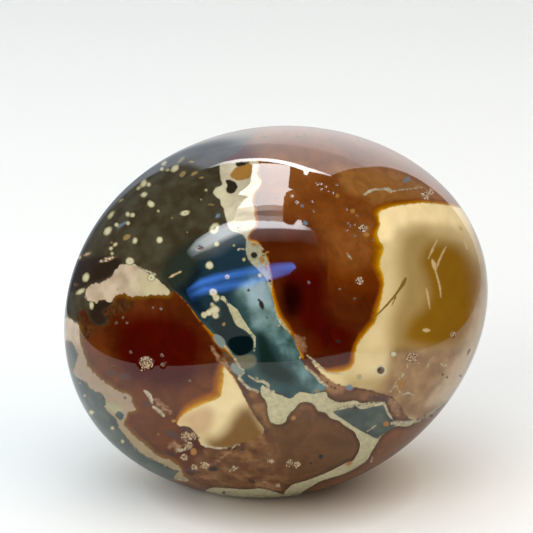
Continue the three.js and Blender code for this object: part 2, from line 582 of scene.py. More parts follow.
# %% The cream, each point with how far its glow reaches into the brown
cream_band = [
    (221, 164.5), (232, 162.5), (245, 161.5), (258, 161.5, 2), (257, 174, 4), (261, 180, 4),
    (260, 186, 4), (256, 190, 4), (252.5, 196, 4), (252.5, 203, 4), (254.5, 208, 4), (254, 214, 4),
    (255.5, 219, 4), (255, 225, 4), (251.5, 230, 3), (248.5, 234.5, 2), (246.5, 239, 2), (243, 235),
    (238, 232.5), (232, 231), (228, 226), *reversed(olive_to_cream),
]
speckled_rim = [
    (246.5, 239, 3), (250, 241, 3), (256.8, 242.8, 3), (259.9, 248, 3), (262, 253.1, 3),
    (266.3, 257.5, 3), (267.6, 263.5, 3), (268.9, 270, 3), (270.3, 278, 3), (271.2, 287, 3),
    (272.6, 293, 3), (269.5, 290), *reversed(teal_to_speckles),
]
cream_right = [
    (380, 212, 9), (379, 218, 7), (380, 225, 6), (377.5, 232, 8), (378.5, 239, 12), (384, 247, 15),
    (382, 256, 14), (380, 265, 11), (383, 275, 9), (384.5, 283, 7), (383, 292, 6), (381.5, 300, 7),
    (378.5, 311, 8), (375.5, 322, 8), (369, 330, 8), (363, 337, 7), (358, 345, 6), (355.5, 353, 6),
    (355, 361, 7), (352, 367, 7), (345, 371, 8), (334, 373, 8), (326, 371.5, 5), (319, 367, 2),
    (312, 361), (317, 369), (325, 376), (333, 382), (341, 385), (350, 387), (366, 389), (383, 394),
    (392, 397), (400, 405), (406, 415), (413, 420), (425, 418), (444, 404), (462, 388), (485, 365),
    (505, 330), (510, 280), (500, 235, 2), (478, 214, 5), (457.5, 207.5, 7), (447, 205.5, 7),
    (436, 204, 6), (423, 203, 6), (408, 204.5, 6), (394, 206.5, 7),
]
cream_low = [
    (224, 367, 8), (228, 371, 3), (231, 375, 2), (236, 382, 2), (243, 395, 2), (250.5, 410, 2),
    (257, 420, 1), (263, 428), (263.2, 433), (259.1, 437.9), (246.9, 441.2), (226.4, 447.7),
    (214, 448), (201.8, 445.3), (197, 435), (190.5, 428), (184, 426), (178, 425, 1), (179.5, 419, 5),
    (185, 414, 8), (195, 407.5, 11), (209.5, 402, 12), (220, 397, 12), (222, 389, 13),
    (223.5, 380, 14),
]
print("points with a glow:", sum(len(point) == 3 for point in cream_band + speckled_rim
                                 + cream_right + cream_low))

# %% [markdown]
# ### Glowing edges of the band
# The blue-green band lights the brown beside it too, but only along two stretches. Each is drawn as a
# thin outline of its own, which glows and has no colour.

# %% Edges of the band where light leaks into the brown
band_right_edge = [
    (271, 287, 3), (273.3, 300.7, 5), (276.7, 312.8, 6), (280.2, 319.7, 6), (284.9, 325.7, 6),
    (288.5, 332, 6), (294, 339, 5), (296.4, 345.5, 4), (300, 353.6, 4), (302, 358, 3), (296, 356),
    (286, 340), (276, 325), (268, 300),
]
band_left_edge = [
    (169, 283, 1), (187, 303, 1.6), (200, 320, 2.4), (213, 333.5, 5), (218, 338, 8),
    (224.8, 345.5, 8), (230, 352, 6), (234, 357.5, 3), (238, 352), (228, 338), (215, 325), (200, 308),
    (185, 292),
]
print("points along the edges:", len(band_right_edge) + len(band_left_edge))

# %% [markdown]
# ### Soft places in the cream
# Within the big cream field the colour drifts: sunny at the top, khaki and honey where it is a little
# clear, tan at the lower corner. These outlines only say where, and they are painted very softly.

# %% Soft places in the cream
sunny_top = [
    (384, 200), (400, 200), (430, 198), (460, 202), (484, 214), (492, 236), (470, 228), (450, 225),
    (430, 223), (412, 223), (398, 228), (389, 240), (376, 236),
]
khaki_right = [
    (402, 236), (412, 229), (424, 228), (436, 233), (450, 236), (466, 242), (482, 256), (510, 268),
    (515, 320), (490, 372), (462, 400), (440, 412), (415, 405), (398, 395), (384, 391), (366, 388),
    (350, 387), (352, 380), (370, 379), (387, 374), (391, 360), (389, 340), (391, 318), (398, 298),
    (400, 280), (398, 262), (399, 248),
]
honey_right = [
    (427, 247), (440, 244), (456, 247), (467, 256), (476, 268), (486, 284), (486, 310), (476, 330),
    (460, 343), (440, 347), (420, 345), (406, 338), (412, 320), (424, 308), (430, 294), (426, 276),
    (421, 261),
]
pale_side = [
    (476, 226), (492, 232), (508, 280), (505, 330), (480, 372), (452, 402), (428, 406), (438, 388),
    (452, 366), (468, 338), (478, 304), (484, 272), (478, 248),
]
tan_corner = [
    (392, 352), (405, 347), (425, 350), (447, 348), (468, 340), (486, 325), (515, 330), (490, 392),
    (440, 440), (410, 440), (396, 428), (414, 421), (398, 419), (389, 406), (374, 401), (356, 399),
    (334, 399), (327, 393), (330, 386), (346, 391), (366, 391), (381, 386), (389, 371),
]
khaki_low = [
    (241, 408), (252, 408), (262, 424), (267, 434), (259, 446), (246, 450), (230, 453), (212, 452),
    (206, 440), (218, 436), (227, 428), (234, 416),
]
rosy_low = [
    (180, 420), (190, 413), (206, 407), (214, 412), (212, 424), (206, 434), (196, 436), (188, 428),
]
print("points round the honey:", len(honey_right))

# %% [markdown]
# ### The pink
# The pink is jasper with a trace of red iron in it, greyer near the slate and yellower at one end.

# %% The pink patch and the pink strip
pink_patch = [
    (85.5, 296), (87.5, 288.5), (93, 284), (100, 283), (107, 279.5), (112, 276), (117, 268),
    (123, 264.5), (131, 264), (138, 267), (147.5, 273.5), (155, 278), (163, 284), (170, 291),
    (168, 295.5), (160, 294.7), (150.7, 294.4), (145, 296.4), (138, 295.8), (132.6, 297.3),
    (129.6, 295), (127.8, 297.3), (127.5, 292), (124.9, 293.5), (118.3, 294.4), (113.5, 297.3),
    (111, 302), (105, 300), (99, 300), (96.5, 303.5), (93, 301.5), (88, 300.5),
]
pink_strip = [
    (56, 318), (68, 318), (74.3, 322.1), (79, 326), (79.9, 335), (80.9, 345.5), (85.1, 359.1),
    (88.2, 366.4), (99.7, 378.9), (108.1, 384.2), (116.5, 390.4), (124.9, 393.6), (130.1, 396.7),
    (132.2, 404), (135.3, 409.8), (128, 412.9), (125.9, 418.7), (123.4, 423.2), (130.1, 431.8),
    (137.8, 438.5), (147.3, 446.1), (155, 453.8), (162.6, 458), (171.2, 460.5), (176, 464.3),
    (180.7, 469), (183.6, 475.7), (187.4, 480.5), (174, 478.1), *reversed(slate_to_pink),
    (77.3, 359.1), (75.7, 348.6), (70.5, 341.3), (62, 338),
]
greenish_pink = [
    (104.3, 404), (110, 401.5), (118, 405), (122, 411), (116, 413), (111, 409), (106, 410.5),
]
low_pink = [
    (100, 420), (125, 418), (150, 440), (176, 458), (192, 482), (170, 484), (140, 460), (118, 440),
]
grey_pink = [
    (60, 346), (84, 346), (100, 370), (136, 394), (132, 420), (112, 420), (92, 400), (68, 372),
]
yellow_pink = [(140, 270), (156, 278), (172, 291), (164, 297), (148, 296), (136, 290), (138, 280)]
print("points round the pink:", len(pink_patch) + len(pink_strip))

# %% [markdown]
# ### The veins
# The veins are cracks of the young rock that healed with pale green chalcedony. They are wide enough
# here to be drawn as outlines, both banks of each.

# %% The pale green veins
vein_net = [
    (262, 385), (268, 389.5), (275, 393), (283, 396), (290.5, 399), (295, 395.5), (300.5, 392),
    (313, 394), (325, 392), (328, 397), (335, 401.5), (343, 402.5), (355, 400.5), (360.5, 403),
    (370.5, 403), (384, 403), (387, 407), (389.5, 414.5), (393, 419.5), (398.5, 421.5), (406, 421),
    (415, 420.5), (408.5, 426), (398, 426), (392, 428), (387.5, 430.5), (381.5, 436), (376, 444.5),
    (371, 453), (367, 460), (360.5, 465), (351, 470.5), (342, 474.5), (321, 481), (309.5, 487.5),
    (303, 491.5), (296, 497), (284, 498), (285, 492), (288, 488.5), (293, 484.5), (306.5, 480.5),
    (321, 475), (333.5, 469.5), (345, 463.5), (352.5, 461), (357, 455), (359.5, 449), (360, 443),
    (357.5, 438), (354, 431.5), (346, 426.5), (338, 420.5), (330.5, 418), (325, 412.5), (318, 411),
    (314.5, 405), (308, 402), (300.5, 402.5), (295.5, 407.5), (288, 415.5), (284, 423), (272, 423.5),
    (268, 413.5), (267, 403), (261, 394),
]
bottom_vein = [
    (212.5, 487.9), (222.3, 487.9), (245.2, 489.5), (261.6, 488.7), (279.6, 493.6), (285, 498),
    (280, 512), (240, 514), (205, 507), (205, 492),
]
triangle_vein = [
    (220.1, 298.9), (223.6, 295.5), (228.3, 302.4), (237, 309.3), (242.1, 317.9), (249.9, 329.6),
    (255.5, 337.3), (255.8, 342), (255.5, 347.5), (254.1, 354.5), (253.4, 346), (252.7, 338.6),
    (249.3, 333.9), (243.2, 329.1), (236.4, 325), (230.9, 313.6), (226.2, 303.3),
]
pale_patches = [
    [(213.2, 335.9), (215.9, 333.9), (221.4, 336.6), (224.8, 340.7), (225.5, 344.8), (222, 348.2),
     (218.6, 345.5), (213.9, 340)],
    [(232, 363), (238, 366), (243, 371), (241, 377), (236, 374), (231, 369)],
]
print("points along the veins:", len(vein_net + bottom_vein + triangle_vein))

# %% [markdown]
# ### Places in the brown ground
# The brown is the clearest part of the stone, so its colour says how deep light gets: red embers and
# a black heart where it is deep, dull or tawny where it is cloudy, rusty and rocky where grains of
# the old rock are mixed in. The tawny band along the top and the veiled brown at the lower left are
# partly painted reflection: their borders follow the edges of broad reflections on the polish.

# %% Where the brown ground is deeper, duller or lighter
embers = [
    [(122, 322), (146, 314), (172, 316), (192, 326), (202, 342), (200, 360), (194, 378), (176, 387),
     (150, 386), (128, 378), (116, 362), (116, 344)],
    [(283, 276), (291, 268), (306, 264), (322, 268), (328, 288), (327, 308), (338, 322), (354, 330),
     (354, 346), (340, 357), (322, 350), (306, 334), (290, 312)],
]
black_heart = [(283, 288), (290, 282), (299, 287), (302, 300), (298, 313), (290, 317), (283, 304)]
dull_brown = [
    (258, 150), (262, 196), (284, 218), (306, 222), (326, 236), (332, 262), (352, 272), (366, 268),
    (378, 262), (382, 226), (385, 206), (423, 199), (462, 205), (478, 200), (440, 160), (400, 132),
    (350, 115), (290, 108), (255, 122),
]
# The tawny band is partly painted reflection: its upper border follows the edge of a broad reflection.
tawny_haze = [
    (338, 168), (352, 170), (368, 168), (388, 168), (404, 173), (422, 182), (442, 194), (456, 206),
    (440, 205), (424, 199), (408, 200), (392, 201), (376, 204), (366, 198), (352, 194), (342, 186),
]
clear_facet = [
    (337.3, 238.6), (334.1, 244.1), (330.5, 250.5), (327.7, 264), (328, 300), (329, 322), (336, 330),
    (350, 336), (364, 326), (378, 300), (380, 262), (374, 244), (356, 236),
]
rusty_corner = [
    (104, 304), (112, 300), (128, 299), (134, 305), (126, 312), (112, 316), (106, 328), (98, 332),
    (84, 340), (78, 330), (80, 314), (90, 322), (98, 330), (104, 322),
]
# The veiled brown is partly painted reflection: its border follows the pale arc of a reflection.
veiled_brown = [
    (84, 340), (110, 352), (140, 362), (172, 366), (200, 372), (214, 384), (206, 400), (180, 412),
    (176, 426), (186, 446), (170, 452), (150, 444), (134, 424), (132, 398), (104, 378), (88, 360),
]
light_brown = [
    (196, 452), (226, 452), (262, 442), (270, 428), (276, 450), (284, 478), (276, 493), (240, 491),
    (204, 489), (186, 479), (196, 466),
]
brown_oval = [
    (271, 424), (284, 424), (292, 416), (300, 405), (310, 405), (316, 413), (330, 420), (346, 429),
    (355, 438), (358, 446), (354, 456), (340, 464), (316, 475), (294, 483), (282, 488), (274, 478),
    (270, 455), (268, 436),
]
rusty_crumbs = [
    [(284, 424), (288, 418), (293, 411), (299, 404), (307, 401), (314, 404), (319, 411), (330, 416),
     (343, 424), (340, 429), (329, 423), (318, 417), (309, 413), (302, 413), (296, 420), (290, 426)],
    [(244, 380), (252, 387), (261, 393), (267, 403), (269, 414), (272, 424), (266, 427), (260, 416),
     (252, 402)],
    [(205, 449), (226, 449), (244, 443), (262, 436), (266, 444), (258, 458), (240, 462), (222, 460),
     (206, 462)],
]
brown_wedge = [
    (222, 350), (232, 357), (241, 369), (250, 384), (264, 398), (268, 410), (271, 424), (266, 434),
    (257, 421), (250, 408), (242, 393), (232, 374), (226, 366),
]
rock_shelf = [
    (305, 362), (316, 372.5), (326, 379), (334, 383.5), (350, 388.5), (366, 390.5), (383, 395.5),
    (400, 401.5), (416, 411), (410, 420), (398, 421), (391, 417), (387, 406), (370, 402), (350, 400),
    (335, 401), (327, 394), (316, 381), (306, 370),
]
rosy_rock = [(321, 376), (331, 376), (342, 381), (345, 388), (338, 394), (328, 392), (322, 384)]
lower_rim = [
    (284, 500), (308, 490), (343, 476), (362, 466), (372, 454), (380, 440), (392, 430), (410, 426),
    (426, 416), (450, 402), (470, 420), (420, 470), (360, 510), (290, 520),
]
print("embers:", len(embers), "and places of rusty crumbs:", len(rusty_crumbs))

# %% [markdown]
# ### Orbs
# Orbs are little balls of chalcedony that grew round a speck. A spot is x, y and a radius, and an
# oval adds its half height and a tilt in degrees. Some orbs show the speck, so the hearts come next.

# %% Orbs and their hearts
cream_orbs = [
    (164, 163.3, 3.6, 2.2, -40), (174.9, 168.4, 5, 3.2, -40), (161.8, 169, 2.2),
    (167.7, 170, 2.2, 1.4, -20), (143.6, 183.4, 4.6, 3, -55), (148.7, 184.6, 2.4),
    (138.6, 188, 3, 1.7, -35), (144, 194.6, 3.6, 2.7, -25), (151, 204, 4, 3.4, 40), (158.3, 211, 1.5),
    (185, 213, 5.3, 3, -15), (214.5, 228.5, 6.4, 4.6, -55), (111, 215, 5, 2.2, -52),
    (127.8, 214.2, 2.5), (132.6, 215, 2.6), (107.7, 231, 5.2, 3.5, -52), (116.4, 224.8, 2.4),
    (128, 223.2, 2.2), (135, 240.7, 2.6, 3.5, 10), (159.7, 240, 3.5), (115.3, 244.5, 2.7, 2, -40),
    (111, 248.4, 2.2), (112, 253.5, 1.8), (129.8, 261.2, 4.5, 4), (79, 257, 2.6),
    (85.9, 277.5, 3.5, 4.9, 20), (80.4, 291.6, 5.6, 2.5, -30), (151.2, 277.7, 4),
    (91.5, 305.3, 2.6, 4.2), (117, 289.2, 1.6), (209.5, 265.4, 4.2), (238.2, 227.7, 3.6),
    (216.8, 244, 3, 2.6), (213.2, 292.5, 4.4), (216.4, 298, 3.6), (215.4, 309.8, 4.3),
    (215.6, 315.4, 3.6), (204.1, 315, 3.3), (209, 312.6, 3.6), (212, 304.5, 2.4), (227.3, 276.7, 2.4),
    (260, 275.4, 2.4), (279, 325.6, 1.4), (393.4, 354, 3.4), (359.2, 376.8, 2.4), (243.9, 259.6, 1.8),
    (233.9, 245.4, 1.2), (79.9, 383.1, 1), (84.6, 395.7, 1.3), (112.3, 428.1, 2), (122.5, 441.5, 2),
    (91.4, 412.4, 3, 2.5), (206, 190, 1.5), (201, 199.6, 1), (187.3, 232.4, 0.8),
    (121, 200.4, 2.6, 0.9, -35),
]
orb_hearts = [
    (214.5, 228.5, 2.2, 1.1, -40), (151.2, 277.7, 1), (238.2, 227.7, 1.1), (227.3, 277.2, 1),
    (129.8, 261.2, 0.7), (213.2, 292.5, 1.1), (216, 297.5, 0.8), (215.8, 315, 0.8), (204.1, 315, 0.8),
    (359.2, 376.8, 0.9), (185, 213, 0.8), (380.8, 370.4, 4, 3.5, -30), (244.6, 363.9, 2.4, 1.6),
]
tan_orbs = [
    (181.5, 159.6, 4.3, 1.5, -38), (191.7, 161.8, 2, 1), (182.9, 174.2, 4, 2.2, -40),
    (193.8, 173.8, 3.6, 1.6, -30), (201.8, 177.8, 2, 1), (126.5, 237.2, 3.9, 2.6, -35),
    (172, 218, 1.1), (211.3, 204.7, 2.6, 1), (224.4, 323.3, 2.7), (111.6, 242.6, 1),
    (317, 391, 2.4, 1.2, 20),
]
bright_rings = [(380.8, 370.4, 5.6), (226.7, 200.6, 6), (219.7, 190.6, 5, 4)]
blue_spots = [
    (349.6, 387.2, 3.4, 3), (122.5, 224.4, 5, 1.3, -35), (217.8, 216, 2.6, 1.8, -40),
    (301.8, 205.9, 2), (305, 223.2, 2.4), (407, 179.8, 4, 2, -35),
]
print("orbs:", len(cream_orbs) + len(tan_orbs), "and hearts:", len(orb_hearts))

# %% [markdown]
# ### Small marks
# Then come the marks that have no name of their own: dark bits, amber windows where clear stone shows
# through, and smears that one kind of stone left in another.

# %% Dark, amber and other small marks
dark_outlines = [
    [(226.7, 179.7), (234.4, 181.3), (237.5, 185.9), (236, 190.6), (232.1, 193.3), (227.5, 192.9),
     (226.3, 189), (227.1, 185.2), (225.9, 182)],
    [(236, 162.7), (249, 162), (246, 164.3), (237.5, 166.6)],
]
dark_spots = [
    (254.1, 255.3, 3.3), (262.9, 255.3, 1), (269.6, 280.8, 1.5), (276.6, 198, 1.6, 1.2, -50),
    (267, 220, 1), (261.6, 305, 2.2, 5, -20), (258.6, 299.8, 1.2), (267.6, 318, 1.6),
    (248.6, 290.3, 1.4), (265, 137, 2.4, 0.9, 10), (298, 137, 2, 0.9), (305, 135, 1.4),
    (358, 140, 2, 0.8, 20), (320.8, 456.6, 2.4), (311, 462.9, 1.2), (355, 407.6, 1.6),
    (335.5, 388, 1.2), (331.5, 386.8, 0.9), (468.6, 351.8, 2.6, 0.9, 110), (460.5, 375.9, 1.2),
    (442.7, 374.5, 1.2), (447.3, 377.3, 1), (384, 332.5, 2.4, 0.7, 60), (338, 341, 2.6, 2),
    (252, 481, 3.2, 1.4, 20), (191, 473.5, 3, 1.2, 30), (213, 469, 5, 2.4), (223.9, 492.8, 1.4),
    (242, 449.6, 1.2), (170, 454, 4, 1.4, 25), (389.6, 424, 1), (334.4, 388, 1.1),
    (339.2, 384.8, 1.1), (327.2, 382.4, 1.1),
]
amber_outlines = [
    [(230.6, 173.6), (235.2, 168.1), (239.8, 165.8), (246, 163.5), (250.7, 163.5), (252.6, 168.1),
     (251.8, 174.3), (249.1, 178.2), (242.9, 179.7), (236.7, 180.5), (231.3, 177.4)],
]
amber_spots = [
    (254.2, 244.5, 3, 1.6, 20), (262, 259.6, 2.4, 3.4, -20), (337.3, 195.5, 1.8, 2.2),
    (365, 227.7, 3.5, 2), (366.4, 234.5, 2.8, 2.4), (352.7, 210.9, 2.2),
    (348.8, 463.6, 3.6, 1.8, -20), (293.5, 418, 2), (386.4, 424, 3, 2.5), (193.6, 451.8, 3.2),
    (174, 421, 2, 1.4), (399, 385, 5, 6, 10), (266, 268, 1.4, 3, -10), (268, 252, 1.4, 1),
    (418, 186, 2.4, 1.2, -10),
]
mauve_smears = [
    [(107.5, 372.7, 0.6), (111.3, 372.7, 3), (115, 373, 0.6)],
    [(118, 376, 0.8), (123.8, 376.8, 3.6), (129, 377.6, 0.8)],
    [(147.3, 399.6, 1), (147.3, 403.1, 2.4), (147, 406.6, 1)],
    [(164.5, 432, 1.4), (171, 434, 3), (178.8, 437, 1.6)],
    [(180, 430, 0.8), (187, 429, 2), (193, 434, 1.4), (198, 438, 0.4)],
    [(186, 469, 1.4), (193, 471, 2), (200, 473, 1)],
    [(368, 397, 1), (376, 398, 2.2), (385, 399.6, 2), (392, 401.6, 1)],
]
pinkish_smears = [
    [(155.5, 399.4, 1), (162.6, 407, 2), (171.2, 411.7, 1)],
    [(211.8, 348.2, 1.4), (218.6, 357, 2), (225.5, 365.2, 1.8), (230.2, 369.3, 1)],
    [(74.8, 284.9, 0.6), (76.6, 285, 0.8)],
    [(169, 447, 1.6), (174, 444, 2.6), (179, 446, 2.4), (176, 449.6, 2)],
    [(296, 336.5, 1), (300, 341, 4), (302.6, 348, 3.4), (303.4, 353, 1)],
    [(388.6, 398, 1), (394, 406, 4), (397, 413, 3)],
    [(213.3, 464.1, 0.8), (222, 457.4, 1), (230.5, 451, 0.8)],
    [(430.4, 412.8, 0.8), (435, 410, 1.1), (439.2, 407.2, 0.8)],
    [(255.9, 485.4, 1), (264, 485, 3), (272, 486.6, 3.2), (279, 488, 1.4)],
]
print("small marks:", len(dark_spots + amber_spots + mauve_smears + pinkish_smears))

# %% [markdown]
# ### Lines
# The third number of a line's point is its half width in pixels, so a line can swell and taper like
# a healed crack does. Flashes are cracks in the honey that catch the light, the needle is one long
# crystal, and crusty edges are rows of crumbs along a border.

# %% Cracks, pale lines and flashes, with their half widths
pale_lines = [
    [(144.4, 390.7, 1.2), (149.2, 395.5, 1.9), (152.1, 403.1, 0.9)],
    [(153, 407, 1), (158.8, 410.8, 2), (163.5, 415.6, 1.3)],
    [(363.9, 194.8, 0.8), (367.3, 192.7, 1.2), (372, 190.3, 1.4), (377.5, 189.3, 1.1),
     (383.7, 189.3, 1.2), (387.7, 189, 1.8), (390.8, 191.7, 1.3)],
    [(391.8, 191.4, 0.5), (400, 190, 0.5), (408.2, 189, 0.4), (421.9, 187.3, 0.4)],
    [(418.5, 363, 0.4), (408, 364, 0.7), (407.2, 367.2, 0.6), (404, 372.8, 0.6), (400.8, 377.6, 0.7),
     (396, 382.4, 0.7), (393.6, 387.2, 0.6), (390.4, 392, 0.6)],
    [(396, 384.8, 0.6), (400, 392, 0.6), (404, 394.4, 0.6), (408, 392.8, 0.6), (413.6, 395.2, 0.5)],
    [(203.5, 445.3, 0.8), (214.1, 447.7, 1), (226.4, 448.2, 0.8)],
    [(232.1, 448.6, 0.7), (236.2, 444.5, 0.9), (239.5, 445.3, 0.7)],
    [(229.7, 471.5, 0.4), (233.8, 466.6, 0.7)],
    [(232.9, 470.7, 0.4), (237.8, 467.4, 0.7)],
    [(224.8, 345.5, 1.2), (230.2, 352.3, 0.9), (234.3, 357.7, 1), (238.4, 365.2, 1.2),
     (243.9, 370, 0.9)],
    [(243.9, 372.7, 1), (241.6, 375, 0.8), (239.1, 376.8, 1)],
    [(239.1, 378.2, 1.3), (243.2, 383, 1.5), (249.3, 388.4, 1.2), (258, 391.4, 1.4)],
    [(248.7, 375.5, 0.7), (254.1, 379.6, 1), (258.2, 380.9, 1.3), (263.7, 381.6, 1.4),
     (267.8, 385, 1.6), (268, 389.8, 1.6), (273.2, 391.8, 1.4)],
    [(256.8, 376.8, 0.6), (257.6, 379, 0.8)],
    [(272.7, 305.5, 0.5), (279, 320, 0.8), (288.2, 331.8, 0.6)],
    [(300, 357.3, 0.9), (306.4, 367.3, 1.5), (315.5, 375.5, 1.4), (320.9, 381.8, 1.3),
     (327.3, 386.4, 0.8)],
    [(306.4, 354.5, 0.5), (319, 365.5, 0.8), (328.2, 372.7, 0.8), (342.7, 373.6, 0.4)],
    [(360, 408, 0.7), (371, 406, 1), (382.4, 404, 0.9), (385.6, 407.2, 0.9), (388, 412.8, 1),
     (391.2, 417.6, 0.8)],
    [(367.2, 431.2, 0.4), (376, 425.6, 0.7)],
    [(392, 424, 1.6), (400, 422.4, 1.8), (408, 424, 1.4), (414.4, 420.8, 1.2)],
    [(371, 462, 0.7), (372.5, 457, 0.5)],
    [(237.5, 251, 0.5), (239.6, 248.8, 0.8), (243.9, 249.3, 0.5)],
    [(134.5, 264.8, 0.6), (146, 270.6, 0.8), (155.5, 274.4, 0.6)],
    [(346.4, 252.7, 0.5), (349, 256, 1.1), (351.4, 259.1, 0.5)],
    [(440, 363, 0.4), (444, 366, 0.6), (446.6, 364.4, 0.4)],
    [(433, 357, 0.3), (430, 361, 0.6), (426.6, 368.6, 0.4)],
    [(174.8, 478.8, 0.6), (181, 480, 0.8), (187.4, 480.5, 0.6)],
    [(177, 450.4, 0.8), (181, 450, 1.6), (185, 449.6, 0.8)],
]
flashes = [
    [(437, 240, 0.6), (432, 250.7, 1), (428.6, 258.6, 0.5)],
    [(432.5, 260, 1), (434, 265, 2.2), (435.5, 270, 0.9)],
    [(446, 247, 0.5), (440.5, 257, 1), (436.6, 268, 0.5)],
    [(435.5, 271, 0.6), (439.2, 283.6, 1), (441, 297.3, 0.4)],
    [(426.4, 288, 0.5), (428, 297.3, 1), (430, 309, 0.4)],
    [(463.5, 237, 0.8), (465.4, 243, 1.3), (467.2, 249, 0.6)],
    [(459.4, 227, 0.8), (461.6, 229, 1.4)],
    [(423.6, 330, 1), (426.4, 330.2, 2), (429.2, 330.6, 1)],
    [(169, 277.6, 0.4), (174, 275, 1), (181, 271.6, 0.4)],
]
needle = [
    [(373.6, 318.2, 0.5), (385.5, 306.4, 1), (394.5, 296, 1.1), (400.2, 288.2, 1.3),
     (403.5, 283, 1.9), (405.5, 278.6, 1.3)],
    [(396, 297, 0.7), (393, 303, 0.6), (391, 307.5, 0.3)],
]
crusty_edges = [
    [(258, 243, 0.6), (264, 254, 0.8), (268, 264, 0.8), (270, 276, 0.8), (272, 291, 0.5)],
    [(279, 318, 0.7), (286, 327, 0.8), (291, 334, 0.8), (296, 342, 0.5)],
    [(333, 410.5, 1), (345, 406, 1.3), (358, 405.6, 1), (372, 403.6, 1), (384, 402.6, 0.9)],
    [(398, 422, 1), (412, 422, 1.3), (424, 418, 1.1), (433, 412, 1.1), (443, 402, 0.8)],
]
print("lines:", len(pale_lines), "and flashes:", len(flashes))

# %% [markdown]
# ### Pits and the crystals in them
# Jasper like this has small hollows that the polishing wheel never reached. They are the only
# relief on the stone, so they are listed apart with their depth in millimetres: they are pressed
# into the mesh and the larger ones get a lining of tiny quartz crystals.

# %% The pits
# Each pit: x, y, radius, depth in mm, and for an oval its half height and tilt.
lined_pits = [
    (146.2, 363, 6.4, 0.5), (363, 228.5, 4, 0.2), (359.3, 280.6, 4, 0.3), (425.3, 195.6, 4, 0.2),
    (430.4, 192, 3, 0.2), (186, 436.5, 5, 0.35), (193, 436, 4, 0.3), (188.6, 445.6, 4.4, 0.35),
    (184.4, 457.4, 3.6, 0.3), (204.7, 465.4, 3.6, 0.3), (194, 467.6, 3.4, 0.25),
    (270.4, 460.8, 4.4, 0.2, 2.2, 0), (290, 462.4, 3.2, 0.2), (296.5, 464.4, 3.2, 0.2),
    (107, 259.6, 8.6, 0.15, 2, -18), (87.4, 254, 4.4, 0.15, 1.8, -20),
    (411.8, 357.3, 6, 0.3, 4.6, 30), (453, 334.8, 2.8, 0.25), (278, 485.2, 2.2, 0.2),
    (105, 466, 2, 0.15),
]
bare_pits = [
    (380.8, 370.4, 3.4, 0.3), (200.4, 248.4, 3.4, 0.15, 1.5, 10), (113, 365.6, 1, 0.1),
    (125, 398, 1.6, 0.15), (116.4, 322.8, 1.4, 0.15), (127, 322.8, 1.4, 0.15), (123, 317.7, 1, 0.1),
    (162.8, 364.8, 1.8, 0.15), (130.6, 352.5, 1.4, 0.15), (192, 345.5, 1.3, 0.12),
    (162, 355.5, 1.6, 0.15), (189.5, 381.5, 2, 0.15), (153.5, 307.8, 1.4, 0.12),
    (161, 308.5, 1.4, 0.12), (316.8, 183.2, 1, 0.1), (320.5, 183.6, 1, 0.1),
    (325.5, 186.4, 1.2, 0.12), (328.2, 190.9, 1, 0.1), (320.9, 188.6, 1.2, 0.12),
    (332.7, 192.3, 1.2, 0.12), (336.8, 184.5, 1, 0.1), (291.4, 195.6, 1.2, 0.1),
    (295.9, 201.8, 1.2, 0.12), (311.8, 201.8, 1.2, 0.1), (313.6, 210.5, 1.6, 0.15),
    (346.4, 209.1, 1.3, 0.12), (347.7, 223.2, 1.2, 0.12), (349.5, 225.9, 1.3, 0.12),
    (346.8, 230, 1.2, 0.12), (354.5, 224.5, 1.2, 0.12), (357.3, 215.5, 1.2, 0.1),
    (373.2, 239.5, 1.2, 0.1), (308.4, 282.4, 1.3, 0.12), (296.6, 281.6, 1, 0.1), (301, 280, 0.9, 0.1),
    (355, 235.5, 1.2, 0.1), (355, 299, 1.4, 0.12), (339.4, 289, 1.1, 0.1), (319.4, 423.3, 1.1, 0.1),
    (418.4, 419.2, 1.6, 0.12), (421.6, 419.2, 1.4, 0.12), (424.8, 416, 1.6, 0.12),
    (431.2, 416, 1.8, 0.15), (158.3, 434.2, 1, 0.1),
]
print("pits with crystals:", len(lined_pits), "and without:", len(bare_pits))

# %% [markdown]
# ## The kinds of pattern
# The shapes are now sorted by how finely they have to be drawn. Sharp kinds have crisp edges that
# run for centimetres. Fine kinds are small marks, which need the finest triangles. Soft kinds only
# tint another kind over a wide soft edge, so the mesh doesn't have to follow them.

# %% Put the kinds together
def without_depth(pits):
    """The pits as plain spots."""
    return [(x, y, radius, *oval) for x, y, radius, _, *oval in pits]


def outline_kinds(**groups):
    """Kinds that are made of outlines only."""
    return {name: {"outlines": outlines} for name, outlines in groups.items()}


sharp_kinds = outline_kinds(
    olive=[olive_field], teal=[teal_band], band=[cream_band], cream=[cream_right, cream_low],
    speckled=[speckled_rim], pink=[pink_patch, pink_strip], slate=[slate_quad, slate_notch],
    strip=[slate_blob, slate_strip], vein=[vein_net, bottom_vein, triangle_vein], patch=pale_patches,
    eye=[dark_eye], facet=[clear_facet])
fine_kinds = {
    "orbs": {"spots": cream_orbs},
    "hearts": {"spots": orb_hearts},
    "tan": {"spots": tan_orbs},
    "rings": {"spots": bright_rings},
    "blue": {"spots": blue_spots},
    "black": {"outlines": dark_outlines, "spots": dark_spots},
    "amber": {"outlines": amber_outlines, "spots": amber_spots},
    "mauve": {"strokes": mauve_smears},
    "pinkish": {"strokes": pinkish_smears},
    "lines": {"strokes": pale_lines},
    "flash": {"strokes": flashes},
    "needle": {"strokes": needle},
    "crust": {"strokes": crusty_edges},
    "pit": {"spots": without_depth(lined_pits + bare_pits)},
    "lining": {"spots": without_depth(lined_pits)},
}
